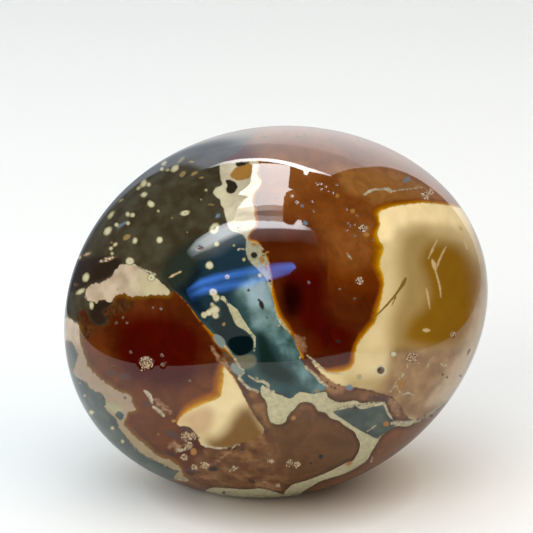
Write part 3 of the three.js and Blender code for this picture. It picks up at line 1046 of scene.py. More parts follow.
soft_kinds = outline_kinds(
    milk=[milky_side], core=[milky_core], sea=[sea_green], deep=[deep_blue], murk=[deep_teal],
    triangle=[dark_triangle], pool=[grey_pool], soot=black_olive, moss=[green_black],
    night=[night_blue], sunny=[sunny_top], khaki=[khaki_right], honey=[honey_right],
    corner=[tan_corner], side=[pale_side], dusk=[khaki_low], rose=[rosy_low],
    green_pink=[greenish_pink], low_pink=[low_pink], grey_pink=[grey_pink],
    yellow_pink=[yellow_pink], ember=embers, coal=[black_heart], dull=[dull_brown],
    tawny=[tawny_haze], crumbs=rusty_crumbs, rusty=[rusty_corner], veiled=[veiled_brown],
    light=[light_brown], oval=[brown_oval], wedge=[brown_wedge], shelf=[rock_shelf],
    rosy=[rosy_rock], rim=[lower_rim])
glowing_outlines = [
    cream_band, speckled_rim, cream_right, cream_low, band_right_edge, band_left_edge,
]
print("kinds of pattern:", ", ".join([*sharp_kinds, *fine_kinds, *soft_kinds]))

# %% [markdown]
# ## A mesh that is fine where the pattern is fine
# The depths are kept at the mesh's own points, so a spot smaller than a triangle would be lost. The
# cure is to split triangles only where an edge of the pattern runs close by, on the sphere of
# directions, and to run the same tree on the finer sphere. New points are pushed back out to the
# sphere, so the stone stays exactly as round as before. The second split is for the small marks. It
# leaves out the far side, which the picture doesn't show, to spend the triangles on what it shows.

# %% Split the triangles near the edges of the pattern
edge_reach = 0.12
fine_reach = 0.07
fine_side_limit = 0.1
grain_free_height = 0.6


def measured(directions, kinds):
    """The stone's points for a mesh of directions, and how deep each lies in each kind."""
    points = fitted(mesh_points(shaped(directions)))
    places = pattern_places(points, mesh_points(directions))
    return points, {name: kind_depth(places, **shapes) for name, shapes in kinds.items()}


def split_near(directions, kinds, reach, turned_away=1.0):
    """Splits each triangle with a corner within reach, in millimetres, of the edge of some kind.

    Corners that look away from the camera by more than turned_away are left out. The edges are
    kept in the mesh's own order, so that every run makes the same mesh."""
    _, depths = measured(directions, kinds)
    closest = np.min([np.abs(depth) for depth in depths.values()], axis=0)
    closest[mesh_points(directions) @ to_camera < -turned_away] = far_away
    ball = bmesh.new()
    ball.from_mesh(directions)
    ball.verts.ensure_lookup_table()
    chosen = dict.fromkeys(edge for face in ball.faces for edge in face.edges
                           if min(closest[corner.index] for corner in face.verts) < reach)
    bmesh.ops.subdivide_edges(ball, edges=list(chosen), cuts=1, use_grid_fill=True)
    bmesh.ops.triangulate(ball, faces=[face for face in ball.faces if len(face.verts) > 3])
    for corner in ball.verts:
        corner.co.normalize()
    ball.to_mesh(directions)
    ball.free()
    directions.update()
    print("split near the edges:", len(directions.polygons), "triangles")


split_near(directions, {**sharp_kinds, **fine_kinds}, edge_reach)
split_near(directions, fine_kinds, fine_reach, turned_away=fine_side_limit)
points, depths = measured(directions, {**sharp_kinds, **fine_kinds, **soft_kinds})
facing = mesh_points(directions)
places = pattern_places(points, facing)
depths["glow"] = np.max([glow_share(places, outline) for outline in glowing_outlines], axis=0)
# No crystals grow on the lowest part, where they would lift the stone off the table.
depths["lining"][points[:, 2] < grain_free_height * MM] = -far_away
print("points in all:", len(points))

# %% [markdown]
# ## The pits in the mesh
# A pit is a dent of a few tenths of a millimetre with a steep wall and an uneven bottom. Each one
# pushes the points inside it straight in. Its depth is varied by three crossing waves, because a
# hollow that the wheel never reached keeps its broken surface.

# %% Press in the pits
# Each wave: how fast it turns along x, y and z, in radians per mm.
rough_waves = np.array([[9, 4, -6], [-5, 8, 7], [6, -9, 5]])
even_part, rough_part = 0.75, 0.5
wall_steepness = 1.6
unevenness = even_part + rough_part * np.sin(points @ rough_waves.T / MM).prod(axis=1)
dented = points.copy()
for x, y, radius, depth, *oval in lined_pits + bare_pits:
    inside = spot_depth(places, (x, y, radius, *oval)) / (radius * drawn_pixel)
    share = np.clip(inside * wall_steepness, 0, 1)
    dented -= facing * (eased(share) * depth * unevenness * MM)[:, None]
print("deepest pit", round(float(np.linalg.norm(dented - points, axis=1).max() / MM), 2), "mm")

# %% [markdown]
# ## The stone's mesh
# The tree runs once more, on the split sphere. The dented points replace its own, and every kind's
# depth is stored on the mesh as an attribute of its points. The shader reads them by name.

# %% Make the stone's mesh
stone_mesh = shaped(directions)
stone_mesh.vertices.foreach_set("co", dented.ravel())
for name, depth in depths.items():
    layer = stone_mesh.attributes.new(name, "FLOAT", "POINT")
    layer.data.foreach_set("value", depth.astype(np.float32))
stone_mesh.update()
print("depths stored on the mesh:", len(depths))

# %% [markdown]
# ## Polished jasper
# Jasper and chalcedony are quartz in crystals too small to see. Buffed with fine powder they take
# a mirror polish, and light that gets past the surface is coloured by whatever grew in them. So
# the material is one glossy surface over a painted colour, and all the nodes below make that
# colour. Four noises serve every kind, sized like the real thing: sand of 0.18 mm, grain of 0.6 mm,
# patches of 2.2 mm and clouds of 6.5 mm.

# %% The jasper's tree and its noises
def linear(hex_colour):
    """An sRGB hex colour as the linear numbers that a shader wants."""
    parts = [int(hex_colour[i:i + 2], 16) / 255 for i in (1, 3, 5)]
    turned = [part / 12.92 if part <= 0.04045 else ((part + 0.055) / 1.055) ** 2.4 for part in parts]
    return (*turned, 1.0)


stone_material.use_nodes = True
shader_tree = stone_material.node_tree
shader_tree.nodes.clear()
own_place = add_node(shader_tree, "ShaderNodeTexCoord").outputs["Object"]


def noise(size, detail=3.0, roughness=0.5, distortion=0.0):
    """Noise whose cells measure about size millimetres."""
    return add_node(shader_tree, "ShaderNodeTexNoise", {
        "Scale": 1 / (size * MM), "Detail": detail, "Roughness": roughness, "Distortion": distortion},
        {"Vector": own_place}).outputs["Fac"]


sand, grain, patches, clouds = noise(0.18, 2.0), noise(0.6), noise(2.2), noise(6.5)
print("nodes for place and noises:", len(shader_tree.nodes))

# %% [markdown]
# ### Ramps
# A stone is never one flat colour. A ramp turns a number into a colour, and a ramp over a noise
# mottles it. The colours are written as hex, the way they are read off a screen.

# %% Ramps and mottling
noise_low, noise_high = 0.34, 0.66


def remap(value, low, high, to_low=0.0, to_high=1.0, smooth=True):
    """A value between low and high, carried over to lie between two others."""
    return add_node(shader_tree, "ShaderNodeMapRange", {
        "interpolation_type": "SMOOTHSTEP" if smooth else "LINEAR", "From Min": low, "From Max": high,
        "To Min": to_low, "To Max": to_high}, {"Value": value}).outputs["Result"]


def ramp(factor, *stops):
    """A colour ramp over (place, hex colour) stops."""
    made = add_node(shader_tree, "ShaderNodeValToRGB", feeds={"Fac": factor})
    elements = made.color_ramp.elements
    while len(elements) < len(stops):
        elements.new(0.5)
    for element, (place, colour) in zip(elements, stops):
        element.position = place
        element.color = linear(colour)
    return made.outputs["Color"]


def mottled(by, *colours):
    """Colours spread over the middle range of a noise, which is where most of its values lie."""
    step = (noise_high - noise_low) / (len(colours) - 1)
    return ramp(by, *[(noise_low + index * step, colour) for index, colour in enumerate(colours)])


# %% [markdown]
# ### Covers
# A kind's depth becomes a cover: none outside, full inside, and a change between them over an edge
# of a chosen softness. A noise added to the depth first frays that edge. The cover then says how
# much of one paint lies over another.

# %% Covers and layers
# A Mix node has a socket for each type of value. These are the ones for colours.
MIX_BELOW, MIX_ABOVE, MIX_RESULT = 6, 7, 2
noise_stretch = 3


def times(one, other):
    """The product of a socket and a plain number or another socket."""
    settings, feeds = {"operation": "MULTIPLY"}, {0: one}
    side = settings if isinstance(other, (int, float)) else feeds
    side[1] = other
    return add_node(shader_tree, MATH, settings, feeds).outputs[0]


def deep_in(name):
    """How deep in a kind the shaded spot lies, as stored on the mesh."""
    return add_node(shader_tree, "ShaderNodeAttribute", {"attribute_name": name}).outputs["Fac"]


def cover(name, soft, ragged, fray=grain):
    """How much a kind covers: from 0 to 1 over an edge of soft mm, frayed by ragged mm of noise."""
    swing = add_node(shader_tree, MATH, {"operation": "SUBTRACT", 1: 0.5}, {0: fray}).outputs[0]
    depth = add_node(shader_tree, MATH, {"operation": "MULTIPLY_ADD", 1: ragged * noise_stretch},
                     {0: swing, 2: deep_in(name)}).outputs[0]
    return remap(depth, -soft / 2, soft / 2)


def over(below, above, share):
    """One paint laid over another by a share.

    A paint is a plain hex colour, a mottling given as its noise and colours, or a finished socket."""
    plain, fed = {"data_type": "RGBA"}, {0: share}
    for place, paint in ((MIX_BELOW, below), (MIX_ABOVE, above)):
        if isinstance(paint, str):
            plain[place] = linear(paint)
        else:
            fed[place] = mottled(*paint) if isinstance(paint, tuple) else paint
    return add_node(shader_tree, "ShaderNodeMix", plain, fed).outputs[MIX_RESULT]


# %% [markdown]
# ## The brown ground
# Brown chalcedony lets light in. Deep inside a patch it is nearly black-red, and close to a pale
# neighbour light leaks through it, so it turns from red-brown over orange to a line of yellow. The
# distance to the nearest cream gives exactly that ramp.

# %% Colour the ground
glow_fade = 0.45
flow_low, flow_high = 0.32, 0.68
flow_darkest, flow_lightest = 0.85, 1.17
seam_share = 0.6


def zoned(below, zones):
    """Lays zones over a paint: each has a name, its paint, a soft edge and a ragged edge in mm."""
    for name, paint, soft, ragged in zones:
        below = over(below, paint, cover(name, soft, ragged, patches))
    return below


ground = zoned((clouds, "#3E1602", "#451A04", "#4E220A"), [
    # A paler brown, partly painted reflection.
    ("veiled", "#522808", 2.0, 0.4),
    ("rusty", (grain, "#30190C", "#3E2210", "#4A2C10"), 0.9, 0.3),
    ("ember", "#380500", 3.4, 0.5),
    ("coal", "#170100", 2.0, 0.3),
])
# The clear facet is cut off sharply, but fades the further it gets from the dull brown above it.
beside_dull = remap(deep_in("dull"), -5.0, -1.0)
ground = over(ground, "#582503", times(cover("facet", 0.12, 0.05), beside_dull))
ground = zoned(ground, [
    ("dull", (clouds, "#60300D", "#6A3913", "#74451C"), 3.6, 0.5),
    # A tawny brown, partly painted reflection.
    ("tawny", "#7E5226", 1.4, 0.3),
])
# Light leaks in from the cream: dark orange where its glow begins, yellow at the border itself.
glow = deep_in("glow")
light_leak = ramp(glow, (0.0, "#62300A"), (0.25, "#6A3606"), (0.5, "#784400"), (0.7, "#8C5700"),
                  (0.85, "#A07000"), (0.94, "#AA8004"), (1.0, "#B8942A"))
ground = over(ground, light_leak, remap(glow, 0.0, glow_fade))
# The lower part is cloudy rock rather than clear chalcedony, so it covers the glow.
ground = zoned(ground, [
    ("oval", "#523519", 0.6, 0.1),
    ("light", (patches, "#50301A", "#5E3E22", "#6C4E30"), 2.2, 0.8),
    ("wedge", (patches, "#3E2612", "#4A321C", "#58432E"), 0.5, 0.2),
    ("rim", "#633A18", 1.2, 0.2),
    ("crumbs", (patches, "#46290F", "#5A381C", "#71502C"), 0.9, 0.6),
    ("shelf", (patches, "#4E321C", "#5A3A20", "#684828"), 0.6, 0.2),
    ("rosy", "#805C3A", 0.8, 0.3),
])
# Wisps, folded like smoke, make the whole ground lighter and darker.
flow = noise(3.2, 5.0, 0.62, distortion=1.4)
ground = add_node(shader_tree, "ShaderNodeHueSaturation", feeds={
    "Color": ground, "Value": remap(flow, flow_low, flow_high, flow_darkest, flow_lightest)}).outputs[0]
# A dark seam follows the veins, and a golden one the pink, each under a millimetre wide.
outside_vein = times(deep_in("vein"), -1.0)
ground = over(ground, "#37230E", times(remap(outside_vein, 0.75, 0.1), seam_share))
outside_pink = times(deep_in("pink"), -1.0)
ground = over(ground, "#6B4A0C", times(remap(outside_pink, 0.8, 0.0), seam_share))
print("nodes up to the ground:", len(shader_tree.nodes))

# %% [markdown]
# ## The large bodies
# The olive, the blue-green, the cream and the pink are each painted by themselves first, with their
# soft places in them. A colour given as a noise and several steps is mottled by that noise.

# %% Paint the large bodies
olive_body = zoned((patches, "#322A1A", "#3A3325", "#3E3B2C"), [
    ("moss", "#22251C", 1.8, 0.5),
    ("soot", "#241A11", 1.0, 0.3)])
teal_body = zoned((patches, "#22363A", "#2A4040", "#324844"), [
    ("sea", (patches, "#2C4440", "#486260", "#5C787C"), 1.8, 0.5),
    ("milk", (patches, "#526864", "#627A78", "#6E8688"), 1.8, 0.4),
    ("core", "#83969D", 1.6, 0.3),
    ("deep", "#172932", 1.6, 0.4),
    ("night", "#08131A", 1.8, 0.3),
    ("moss", "#20261F", 1.8, 0.5),
    ("murk", "#0F1E19", 1.8, 0.4),
    ("triangle", "#232A2B", 0.5, 0.05),
    ("pool", "#5A5847", 0.5, 0.1)])
cream_body = zoned((clouds, "#BBA878", "#C2AF82", "#C8B58A"), [
    ("sunny", "#DFCB9A", 1.8, 0.2),
    ("khaki", "#927A49", 3.4, 0.3),
    ("honey", "#7A5610", 2.6, 0.3),
    ("corner", (patches, "#785A3B", "#826543", "#8D704B"), 2.2, 0.5),
    ("side", "#A9957A", 2.4, 0.3),
    ("rose", "#AD906A", 1.8, 0.3),
    ("dusk", "#674716", 2.6, 0.2)])
pink_body = zoned((patches, "#98866F", "#A4917A", "#AD9A84"), [
    ("yellow_pink", "#A69A7A", 1.4, 0.3),
    ("grey_pink", "#887662", 2.0, 0.3),
    ("low_pink", "#88775A", 2.0, 0.3),
    ("green_pink", "#878465", 0.8, 0.2)])
print("nodes up to the bodies:", len(shader_tree.nodes))

# %% [markdown]
# ## The kinds laid over the ground
# Now the kinds are laid over the ground one after another, the broad ones first and the small marks
# last. Every edge says how soft it is and how far it is frayed, both in millimetres, because a
# healed border is crisp while a smear isn't.

# %% Lay the kinds over the ground
value_low, value_high = 0.3, 0.7
value_darkest, value_lightest = 0.95, 1.05
pit_mottle_share = 0.8
# Each layer: its kind, its paint, the softness and the fraying of its edge in mm, and the noise
# that frays it where that isn't grain.
layers = [
    ("olive", olive_body, 0.16, 0.08),
    ("teal", teal_body, 0.14, 0.06),
    ("strip", (patches, "#333A3A", "#3E4440", "#484C42"), 0.2, 0.1),
    ("speckled", (grain, "#7B7A62", "#8A8770", "#96917A"), 0.2, 0.08),
    ("band", (patches, "#A2987F", "#AEA48A", "#B8AE94"), 0.24, 0.05),
    ("cream", cream_body, 0.26, 0.14),
    ("pink", pink_body, 0.16, 0.26),
    ("vein", (grain, "#928D6F", "#9E9878", "#A8A080"), 0.12, 0.1, sand),
    ("patch", "#69736D", 0.2, 0.1),
    ("slate", (patches, "#343C38", "#3C4440", "#4A5048"), 0.14, 0.1),
    ("eye", "#030E11", 0.3, 0.03),
    ("mauve", "#422D26", 0.4, 0.3),
    ("pinkish", (grain, "#6E4C30", "#84644A"), 0.6, 0.4),
    ("amber", "#8B632E", 0.3, 0.1),
    ("rings", "#B0A88A", 0.3, 0.08),
    ("blue", "#5C6A75", 0.3, 0.15),
    ("crust", (sand, "#5C4E34", "#8A8468", "#A09A7E"), 0.18, 0.34),
    ("black", "#261F17", 0.24, 0.1),
    ("tan", "#7C6640", 0.2, 0.1),
    ("orbs", ramp(remap(deep_in("orbs"), 0.0, 0.34), (0, "#7E7450"), (0.5, "#A69F80"), (1, "#B4AD92")),
     0.18, 0.1),
    ("hearts", "#5B543D", 0.16, 0.04, sand),
    ("needle", "#6C5422", 0.14, 0.05, sand),
    ("lines", (grain, "#7A6A50", "#948A72", "#A8A088"), 0.22, 0.1),
    ("flash", "#B49C70", 0.26, 0.1),
]
colour = ground
for name, paint, soft, *fraying in layers:
    colour = over(colour, paint, cover(name, soft, *fraying))
# Inside the pits most of the colour is covered by a mottle of dark and pale grains.
pit_cover = times(cover("pit", 0.16, 0.14, sand), pit_mottle_share)
colour = over(colour, (sand, "#35241A", "#5A4434", "#8C7A68"), pit_cover)
# No kind is quite even, so the patches also make the finished colour lighter and darker.
value = remap(patches, value_low, value_high, value_darkest, value_lightest)
colour = add_node(shader_tree, "ShaderNodeHueSaturation",
                  feeds={"Color": colour, "Value": value}).outputs[0]
print("layers over the ground:", len(layers), "and nodes:", len(shader_tree.nodes))

# %% [markdown]
# ## The polish
# The buffed surface mirrors the room almost sharply, with the strength that quartz has. Only the pits
# stay rough: there the polish gives way to a fine broken grain.

# %% The polish
jasper_ior = 1.54
polished_roughness, pit_roughness = 0.03, 0.2
broken_grain_size, broken_grain_height = 0.09, 0.06
in_pit = cover("pit", 0.16, 0.1, sand)
bump = add_node(shader_tree, "ShaderNodeBump", {"Distance": broken_grain_height * MM},
                {"Height": noise(broken_grain_size, 2.0), "Strength": in_pit})
roughness = remap(in_pit, 0.0, 1.0, polished_roughness, pit_roughness)
shader = add_node(shader_tree, "ShaderNodeBsdfPrincipled", {"IOR": jasper_ior}, {
    "Base Color": colour, "Roughness": roughness, "Normal": bump.outputs[0]})
add_node(shader_tree, "ShaderNodeOutputMaterial", feeds={"Surface": shader.outputs[0]})
print("nodes in the polished jasper:", len(shader_tree.nodes))

# %% [markdown]
# ## Quartz in the pits
# The larger hollows are lined with tiny quartz points, which catch the light as sparkles. Geometry
# Nodes scatters them: it reads the depth that the mesh holds for lined pits, drops points only there,
# and stands a small six-sided point on each, leaning at random. The stone and its quartz are one
# piece, so the tree joins them and gives only the grains their own material.

# %% The quartz
def quartz_material():
    """Clear quartz: almost colourless, glassy, with its own low gleam."""
    material = bpy.data.materials.new("clear_quartz")
    material.use_nodes = True
    shader = material.node_tree.nodes["Principled BSDF"]
    shader.inputs["Base Color"].default_value = linear("#DCC09A")
    shader.inputs["Roughness"].default_value = 0.12
    shader.inputs["IOR"].default_value = 1.544
    shader.inputs["Transmission Weight"].default_value = 0.35
    return material


# %% [markdown]
# ### The druse
# Such a lining is called a druse. Its crystals differ in size and lean every way, so both are drawn at
# random from a fixed seed. Their sizes are shares of one grain size, which is an input of the tree.

# %% The tree that lines the pits
grain_size = 0.24 * MM
grains_per_square_metre = 26 / MM**2
least_lining_depth = 0.07
druse_seed = 5
crystal_radius, crystal_height = 0.42, 1.1
most_lean, most_turn = 0.9, 3.1
smallest_share, largest_share = 0.5, 1.25


def druse_tree(quartz):
    """The tree that lines the pits of a stone with leaning quartz points."""
    tree = bpy.data.node_groups.new("druse", "GeometryNodeTree")
    tree.interface.new_socket("Stone", in_out="INPUT", socket_type="NodeSocketGeometry")
    for name, size in {"Grain size": grain_size, "Grains per square metre": grains_per_square_metre,
                       "Least depth": least_lining_depth}.items():
        socket = tree.interface.new_socket(name, in_out="INPUT", socket_type="NodeSocketFloat")
        socket.default_value = size
    seed = tree.interface.new_socket("Seed", in_out="INPUT", socket_type="NodeSocketInt")
    seed.default_value = druse_seed
    tree.interface.new_socket("Stone", in_out="OUTPUT", socket_type="NodeSocketGeometry")
    given = add_node(tree, "NodeGroupInput")
    lining = add_node(tree, "GeometryNodeInputNamedAttribute",
                      {"data_type": "FLOAT", "Name": "lining"})
    inside = add_node(tree, "FunctionNodeCompare", {"operation": "GREATER_THAN"},
                      {0: lining.outputs["Attribute"], 1: given.outputs["Least depth"]})
    dropped = add_node(tree, "GeometryNodeDistributePointsOnFaces", feeds={
        "Mesh": given.outputs["Stone"], "Selection": inside.outputs[0],
        "Density": given.outputs["Grains per square metre"], "Seed": given.outputs["Seed"]})
    crystal = add_node(tree, "GeometryNodeMeshCone", {
        "fill_type": "NONE", "Vertices": 6, "Radius Top": 0.0, "Radius Bottom": crystal_radius,
        "Depth": crystal_height})
    lean = add_node(tree, "FunctionNodeRandomValue", {
        "data_type": "FLOAT_VECTOR", 0: (-most_lean, -most_lean, -most_turn),
        1: (most_lean, most_lean, most_turn)})
    lean = add_node(tree, "FunctionNodeEulerToRotation", feeds={0: lean.outputs[0]})
    turned = add_node(tree, "FunctionNodeRotateRotation", {"rotation_space": "LOCAL"},
                      {0: dropped.outputs["Rotation"], 1: lean.outputs[0]})
    size = add_node(tree, "FunctionNodeRandomValue",
                    {"data_type": "FLOAT", 2: smallest_share, 3: largest_share})
    size = add_node(tree, MATH, {"operation": "MULTIPLY"},
                    {0: size.outputs[1], 1: given.outputs["Grain size"]})
    stood = add_node(tree, "GeometryNodeInstanceOnPoints", feeds={
        "Points": dropped.outputs["Points"], "Instance": crystal.outputs["Mesh"],
        "Rotation": turned.outputs[0], "Scale": size.outputs[0]})
    real = add_node(tree, "GeometryNodeRealizeInstances", feeds={0: stood.outputs[0]})
    dressed = add_node(tree, "GeometryNodeSetMaterial", {"Material": quartz}, {0: real.outputs[0]})
    joined = add_node(tree, "GeometryNodeJoinGeometry", feeds={0: given.outputs["Stone"]})
    tree.links.new(dressed.outputs[0], joined.inputs[0])
    add_node(tree, "NodeGroupOutput", feeds={0: joined.outputs[0]})
    return tree


plain_count = len(stone_mesh.polygons)
stone_mesh = shaped(stone_mesh, druse_tree(quartz_material()))
print("triangles in the quartz:", len(stone_mesh.polygons) - plain_count)
print("triangles in all:", sum(len(face.vertices) - 2 for face in stone_mesh.polygons))

# %% [markdown]
# ## The stone as a piece
# The finished mesh becomes one object. It takes the place of the plain solid and rides on the body
# that carries it, and its slot is what another user may dress anew.

# %% Put the stone in the scene
stone = bpy.data.objects.new("stone", stone_mesh)
bpy.context.scene.collection.objects.link(stone)
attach(stone, "root")
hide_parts("palm_stone")
print("the stone fills", np.round(np.ptp(mesh_points(stone_mesh), axis=0) / MM, 1), "mm")

# %% [markdown]
# ## The floor
# The stone rests on plain white paper. The camera sees a wide sheet of it. The polish mirrors only
# the sheet close to the stone, which ends in front of it, and that end draws the long pale arc
# over the lower third of the stone.

# %% The floor and the sheet that the polish mirrors
floor_half_side = 3000
foot_off_centre = 1 * MM
sheet_drop = -0.05


def paper_material(name, painted_shadow_colour, far_colour, near, far):
    """Matt paper whose colour changes with the distance in mm from the stone's foot: a painted shadow.
    """
    material = bpy.data.materials.new(name)
    material.use_nodes = True
    tree = material.node_tree
    shader = tree.nodes["Principled BSDF"]
    place = add_node(tree, "ShaderNodeTexCoord").outputs["Object"]
    away = add_node(tree, VECTOR, {"operation": "LENGTH"}, {0: place}).outputs["Value"]
    share = add_node(tree, "ShaderNodeMapRange", {"From Min": near * MM, "From Max": far * MM},
                     {"Value": away}).outputs["Result"]
    mix = add_node(tree, "ShaderNodeMix", {
        "data_type": "RGBA", MIX_BELOW: linear(painted_shadow_colour), MIX_ABOVE: linear(far_colour)}, {0: share})
    tree.links.new(mix.outputs[MIX_RESULT], shader.inputs["Base Color"])
    shader.inputs["Roughness"].default_value = 0.9
    shader.inputs["Specular IOR Level"].default_value = 0.1
    return material


def paper_sheet(name, material, corners, height):
    """A flat sheet whose corners and height are given in mm."""
    mesh = bpy.data.meshes.new(name)
    face = tuple(range(len(corners)))
    mesh.from_pydata([(x * MM, y * MM, height * MM) for x, y in corners], [], [face])
    mesh.materials.append(material)
    sheet = bpy.data.objects.new(name, mesh)
    bpy.context.scene.collection.objects.link(sheet)
    return sheet


# Both papers are painted darker near the foot, a painted shadow where the stone keeps the light off
# them.
floor_paper = paper_material("white_paper", "#A4988C", "#FBFAF7", near=8, far=21)
floor_corners = [(x * floor_half_side, y * floor_half_side)
                 for x, y in ((-1, -1), (1, -1), (1, 1), (-1, 1))]
floor = paper_sheet("floor", floor_paper, floor_corners, height=0)
floor.location.x = foot_off_centre
floor.visible_glossy = False
floor.visible_shadow = False
mirrored_paper = paper_material("mirrored_paper", "#5A5856", "#E6EAEA", near=8, far=42)
sheet_corners = [(-38, -96), (20, -106), (54, -109), (250, 330), (40, 330), (-40, 100), (-131, 53)]
mirrored_sheet = paper_sheet("mirrored_sheet", mirrored_paper, sheet_corners, height=sheet_drop)
mirrored_sheet.visible_camera = False
mirrored_sheet.visible_diffuse = False
mirrored_sheet.visible_shadow = False
print("papers:", floor.name, "and", mirrored_sheet.name)

# %% [markdown]
# ## Lights placed by their reflection
# A polished stone is lit mostly by what it mirrors, and a photographer moves a softbox while
# watching where it shows. The function below works the same way: it takes the place in the picture
# where a corner of the light must show, follows the camera's ray off the polish, and puts the
# corner three metres out on that ray.

# %% Find where the polish mirrors to
light_distance = 3.0
least_facing = 0.02
points_in_fit = 14
seen = (facing @ to_camera) > least_facing
seen_places, seen_points, seen_facing = in_picture(points)[seen], points[seen], facing[seen]


def mirrored_point(x, y):
    """The point three metres out that shows as a reflection at a pixel of the picture.

    The place and the facing of the polish there come from a flat fit to the nearest points."""
    order = np.argsort(((seen_places - (x, y)) ** 2).sum(axis=1))[:points_in_fit]
    flat = np.column_stack([seen_places[order] - (x, y), np.ones(len(order))])
    both = np.hstack([seen_points[order], seen_facing[order]])
    fit = np.linalg.lstsq(flat, both, rcond=None)[0][2]
    start, normal = fit[:3], fit[3:] / np.linalg.norm(fit[3:])
    ray = (start - camera_place) / np.linalg.norm(start - camera_place)
    return start + (ray - 2 * (ray @ normal) * normal) * light_distance


def glowing(name, colour):
    """A material that shines with the strength stored on the mesh, and lights nothing else."""
    material = bpy.data.materials.new(name)
    material.use_nodes = True
    tree = material.node_tree
    tree.nodes.clear()
    strength = add_node(tree, "ShaderNodeAttribute", {"attribute_name": "strength"}).outputs["Fac"]
    glow = add_node(tree, "ShaderNodeEmission", {"Color": linear(colour)}, {"Strength": strength})
    add_node(tree, "ShaderNodeOutputMaterial", feeds={"Surface": glow.outputs[0]})
    material.cycles.emission_sampling = "NONE"
    return material


def mirrored_light(name, colour, rows, strength=0.0):
    """A light that only the polish shows, from rows of corners given as x, y and strength.

    A corner without a strength of its own has the one given for the whole light."""
    rows = [[(*corner, strength)[:3] for corner in row] for row in rows]
    width = len(rows[0])
    corners = [mirrored_point(x, y) for row in rows for x, y, _ in row]
    faces = [(row * width + i, row * width + i + 1, (row + 1) * width + i + 1, (row + 1) * width + i)
             for row in range(len(rows) - 1) for i in range(width - 1)]
    mesh = bpy.data.meshes.new(name)
    mesh.from_pydata([tuple(corner) for corner in corners], [], faces)
    layer = mesh.attributes.new("strength", "FLOAT", "POINT")
    layer.data.foreach_set("value", [shine for row in rows for _, _, shine in row])
    mesh.materials.append(glowing(name, colour))
    light = bpy.data.objects.new(name, mesh)
    light.visible_camera = light.visible_diffuse = light.visible_shadow = False
    bpy.context.scene.collection.objects.link(light)


print("points of the stone that face the camera:", int(seen.sum()))

# %% [markdown]
# ### What shows in the polish
# A broad white softbox shows near the top, with a hem of lesser strength below it and a bright upper
# edge. A curved reflector runs as a pale bow below it, and a cool strip crosses the blue-green
# band. Each is a grid of corners, row by row from the top, so a light can fade at its ends.

# %% The lights that the polish shows
mirrored_light("softbox", "#FFFFFF", strength=12, rows=[
    [(252.6, 164.5), (263, 163.5), (276, 164), (290, 166)],
    [(252, 171), (263, 171), (276, 171), (290.1, 171)],
    [(250.7, 183), (262, 183), (276, 184), (288.4, 185.5)],
    [(245, 189), (259, 188), (275, 187.5), (288.6, 188)],
    [(240.5, 192), (257, 191), (274, 190), (293, 189.8)],
    [(238.7, 194.6), (256, 193), (273, 192), (286.2, 192)],
    [(247.5, 196.4), (257, 196), (272, 195), (285, 195)],
    [(243, 201.4), (255, 200.5), (271, 199.5), (284.2, 199)],
    [(237.5, 209), (253, 206.5), (271, 205), (283.3, 206)],
])
mirrored_light("softbox_hem", "#FFF6EE", [
    [(237.3, 209.2, 5), (253, 206.7, 6), (271, 205.2, 6), (283.3, 206.2, 4)],
    [(235.6, 213, 5), (252.5, 211, 6), (271, 209.8, 6), (283, 210.4, 4)],
    [(235.4, 213.6, 2.4), (252.4, 211.8, 2.4), (271, 210.6, 2.4), (283, 211.2, 2)],
    [(234.6, 217, 2.4), (252, 215.6, 2.4), (271, 215.4, 2.4), (283, 216, 2)],
    [(234.5, 217.8, 4.5), (252, 216.2, 4.5), (271, 216.2, 5), (283, 216.8, 4)],
    [(234.2, 221.5, 4.5), (252, 220.3, 5), (271, 221.6, 5), (283, 222, 4)],
])
mirrored_light("softbox_edge", "#FFFFFF", [
    [(208, 167.4, 2), (224, 161.8, 9), (240, 159, 14), (260, 158, 16), (285, 161, 18), (303, 166, 19),
     (304.5, 166.5, 19), (307.5, 167.6, 19), (309, 168, 19), (331, 175.2, 8)],
    [(210, 168.4, 2), (226, 163.6, 9), (242, 161.6, 14), (261, 161, 16), (285, 164.8, 18),
     (303, 170.5, 19), (304.5, 175, 17), (307.2, 175.4, 17), (309, 171.6, 19), (331, 176.4, 8)],
])
mirrored_light("curved_reflector", "#F6FBFF", [
    [(186, 252, 0), (196, 240, 3), (216, 227, 8), (237, 219.5, 8), (252, 219, 8), (270, 220.5, 8),
     (283, 221.6, 8), (288, 224.6, 8), (293.5, 225, 8), (297.4, 219.4, 9), (301, 220, 9),
     (302.5, 225.4, 8), (311, 228.6, 3)],
    [(188, 255, 0.5), (199, 243, 9), (218, 231.5, 13), (238, 224, 14), (252, 221.6, 14),
     (270, 222.4, 14), (283, 223.4, 14), (288, 226, 13), (293.5, 226.4, 13), (297.4, 222, 14),
     (301, 222.4, 13), (302.5, 226.6, 12), (311, 229, 3)],
    [(191, 258, 0.5), (208, 244.5, 11), (222, 237, 13), (239, 230.6, 13), (252, 228, 14),
     (270, 227.6, 13), (283, 227.8, 12), (288, 228.2, 12), (293.5, 228.6, 12), (297.4, 229, 12),
     (301, 229.2, 11), (303, 229.4, 10), (311, 229.8, 2)],
    [(196, 262, 0), (214, 249, 1.5), (229, 240, 1.7), (244, 234, 1.5), (256, 230, 1.4),
     (271, 229, 1.4), (284, 229.2, 1.3), (289, 229.4, 1.2), (295, 229.8, 1.1), (299, 230, 1),
     (303, 230.2, 1), (306, 230.4, 0.8), (314, 231, 0.5)],
    [(204, 270, 0), (222, 258, 0), (236, 249, 0), (250, 244, 0.2), (260, 242, 0.2), (275, 242, 0.2),
     (288, 242, 0.2), (293, 242, 0.1), (299, 242, 0.1), (304, 243, 0.1), (308, 244, 0.1),
     (312, 245, 0.1), (320, 247, 0)],
])
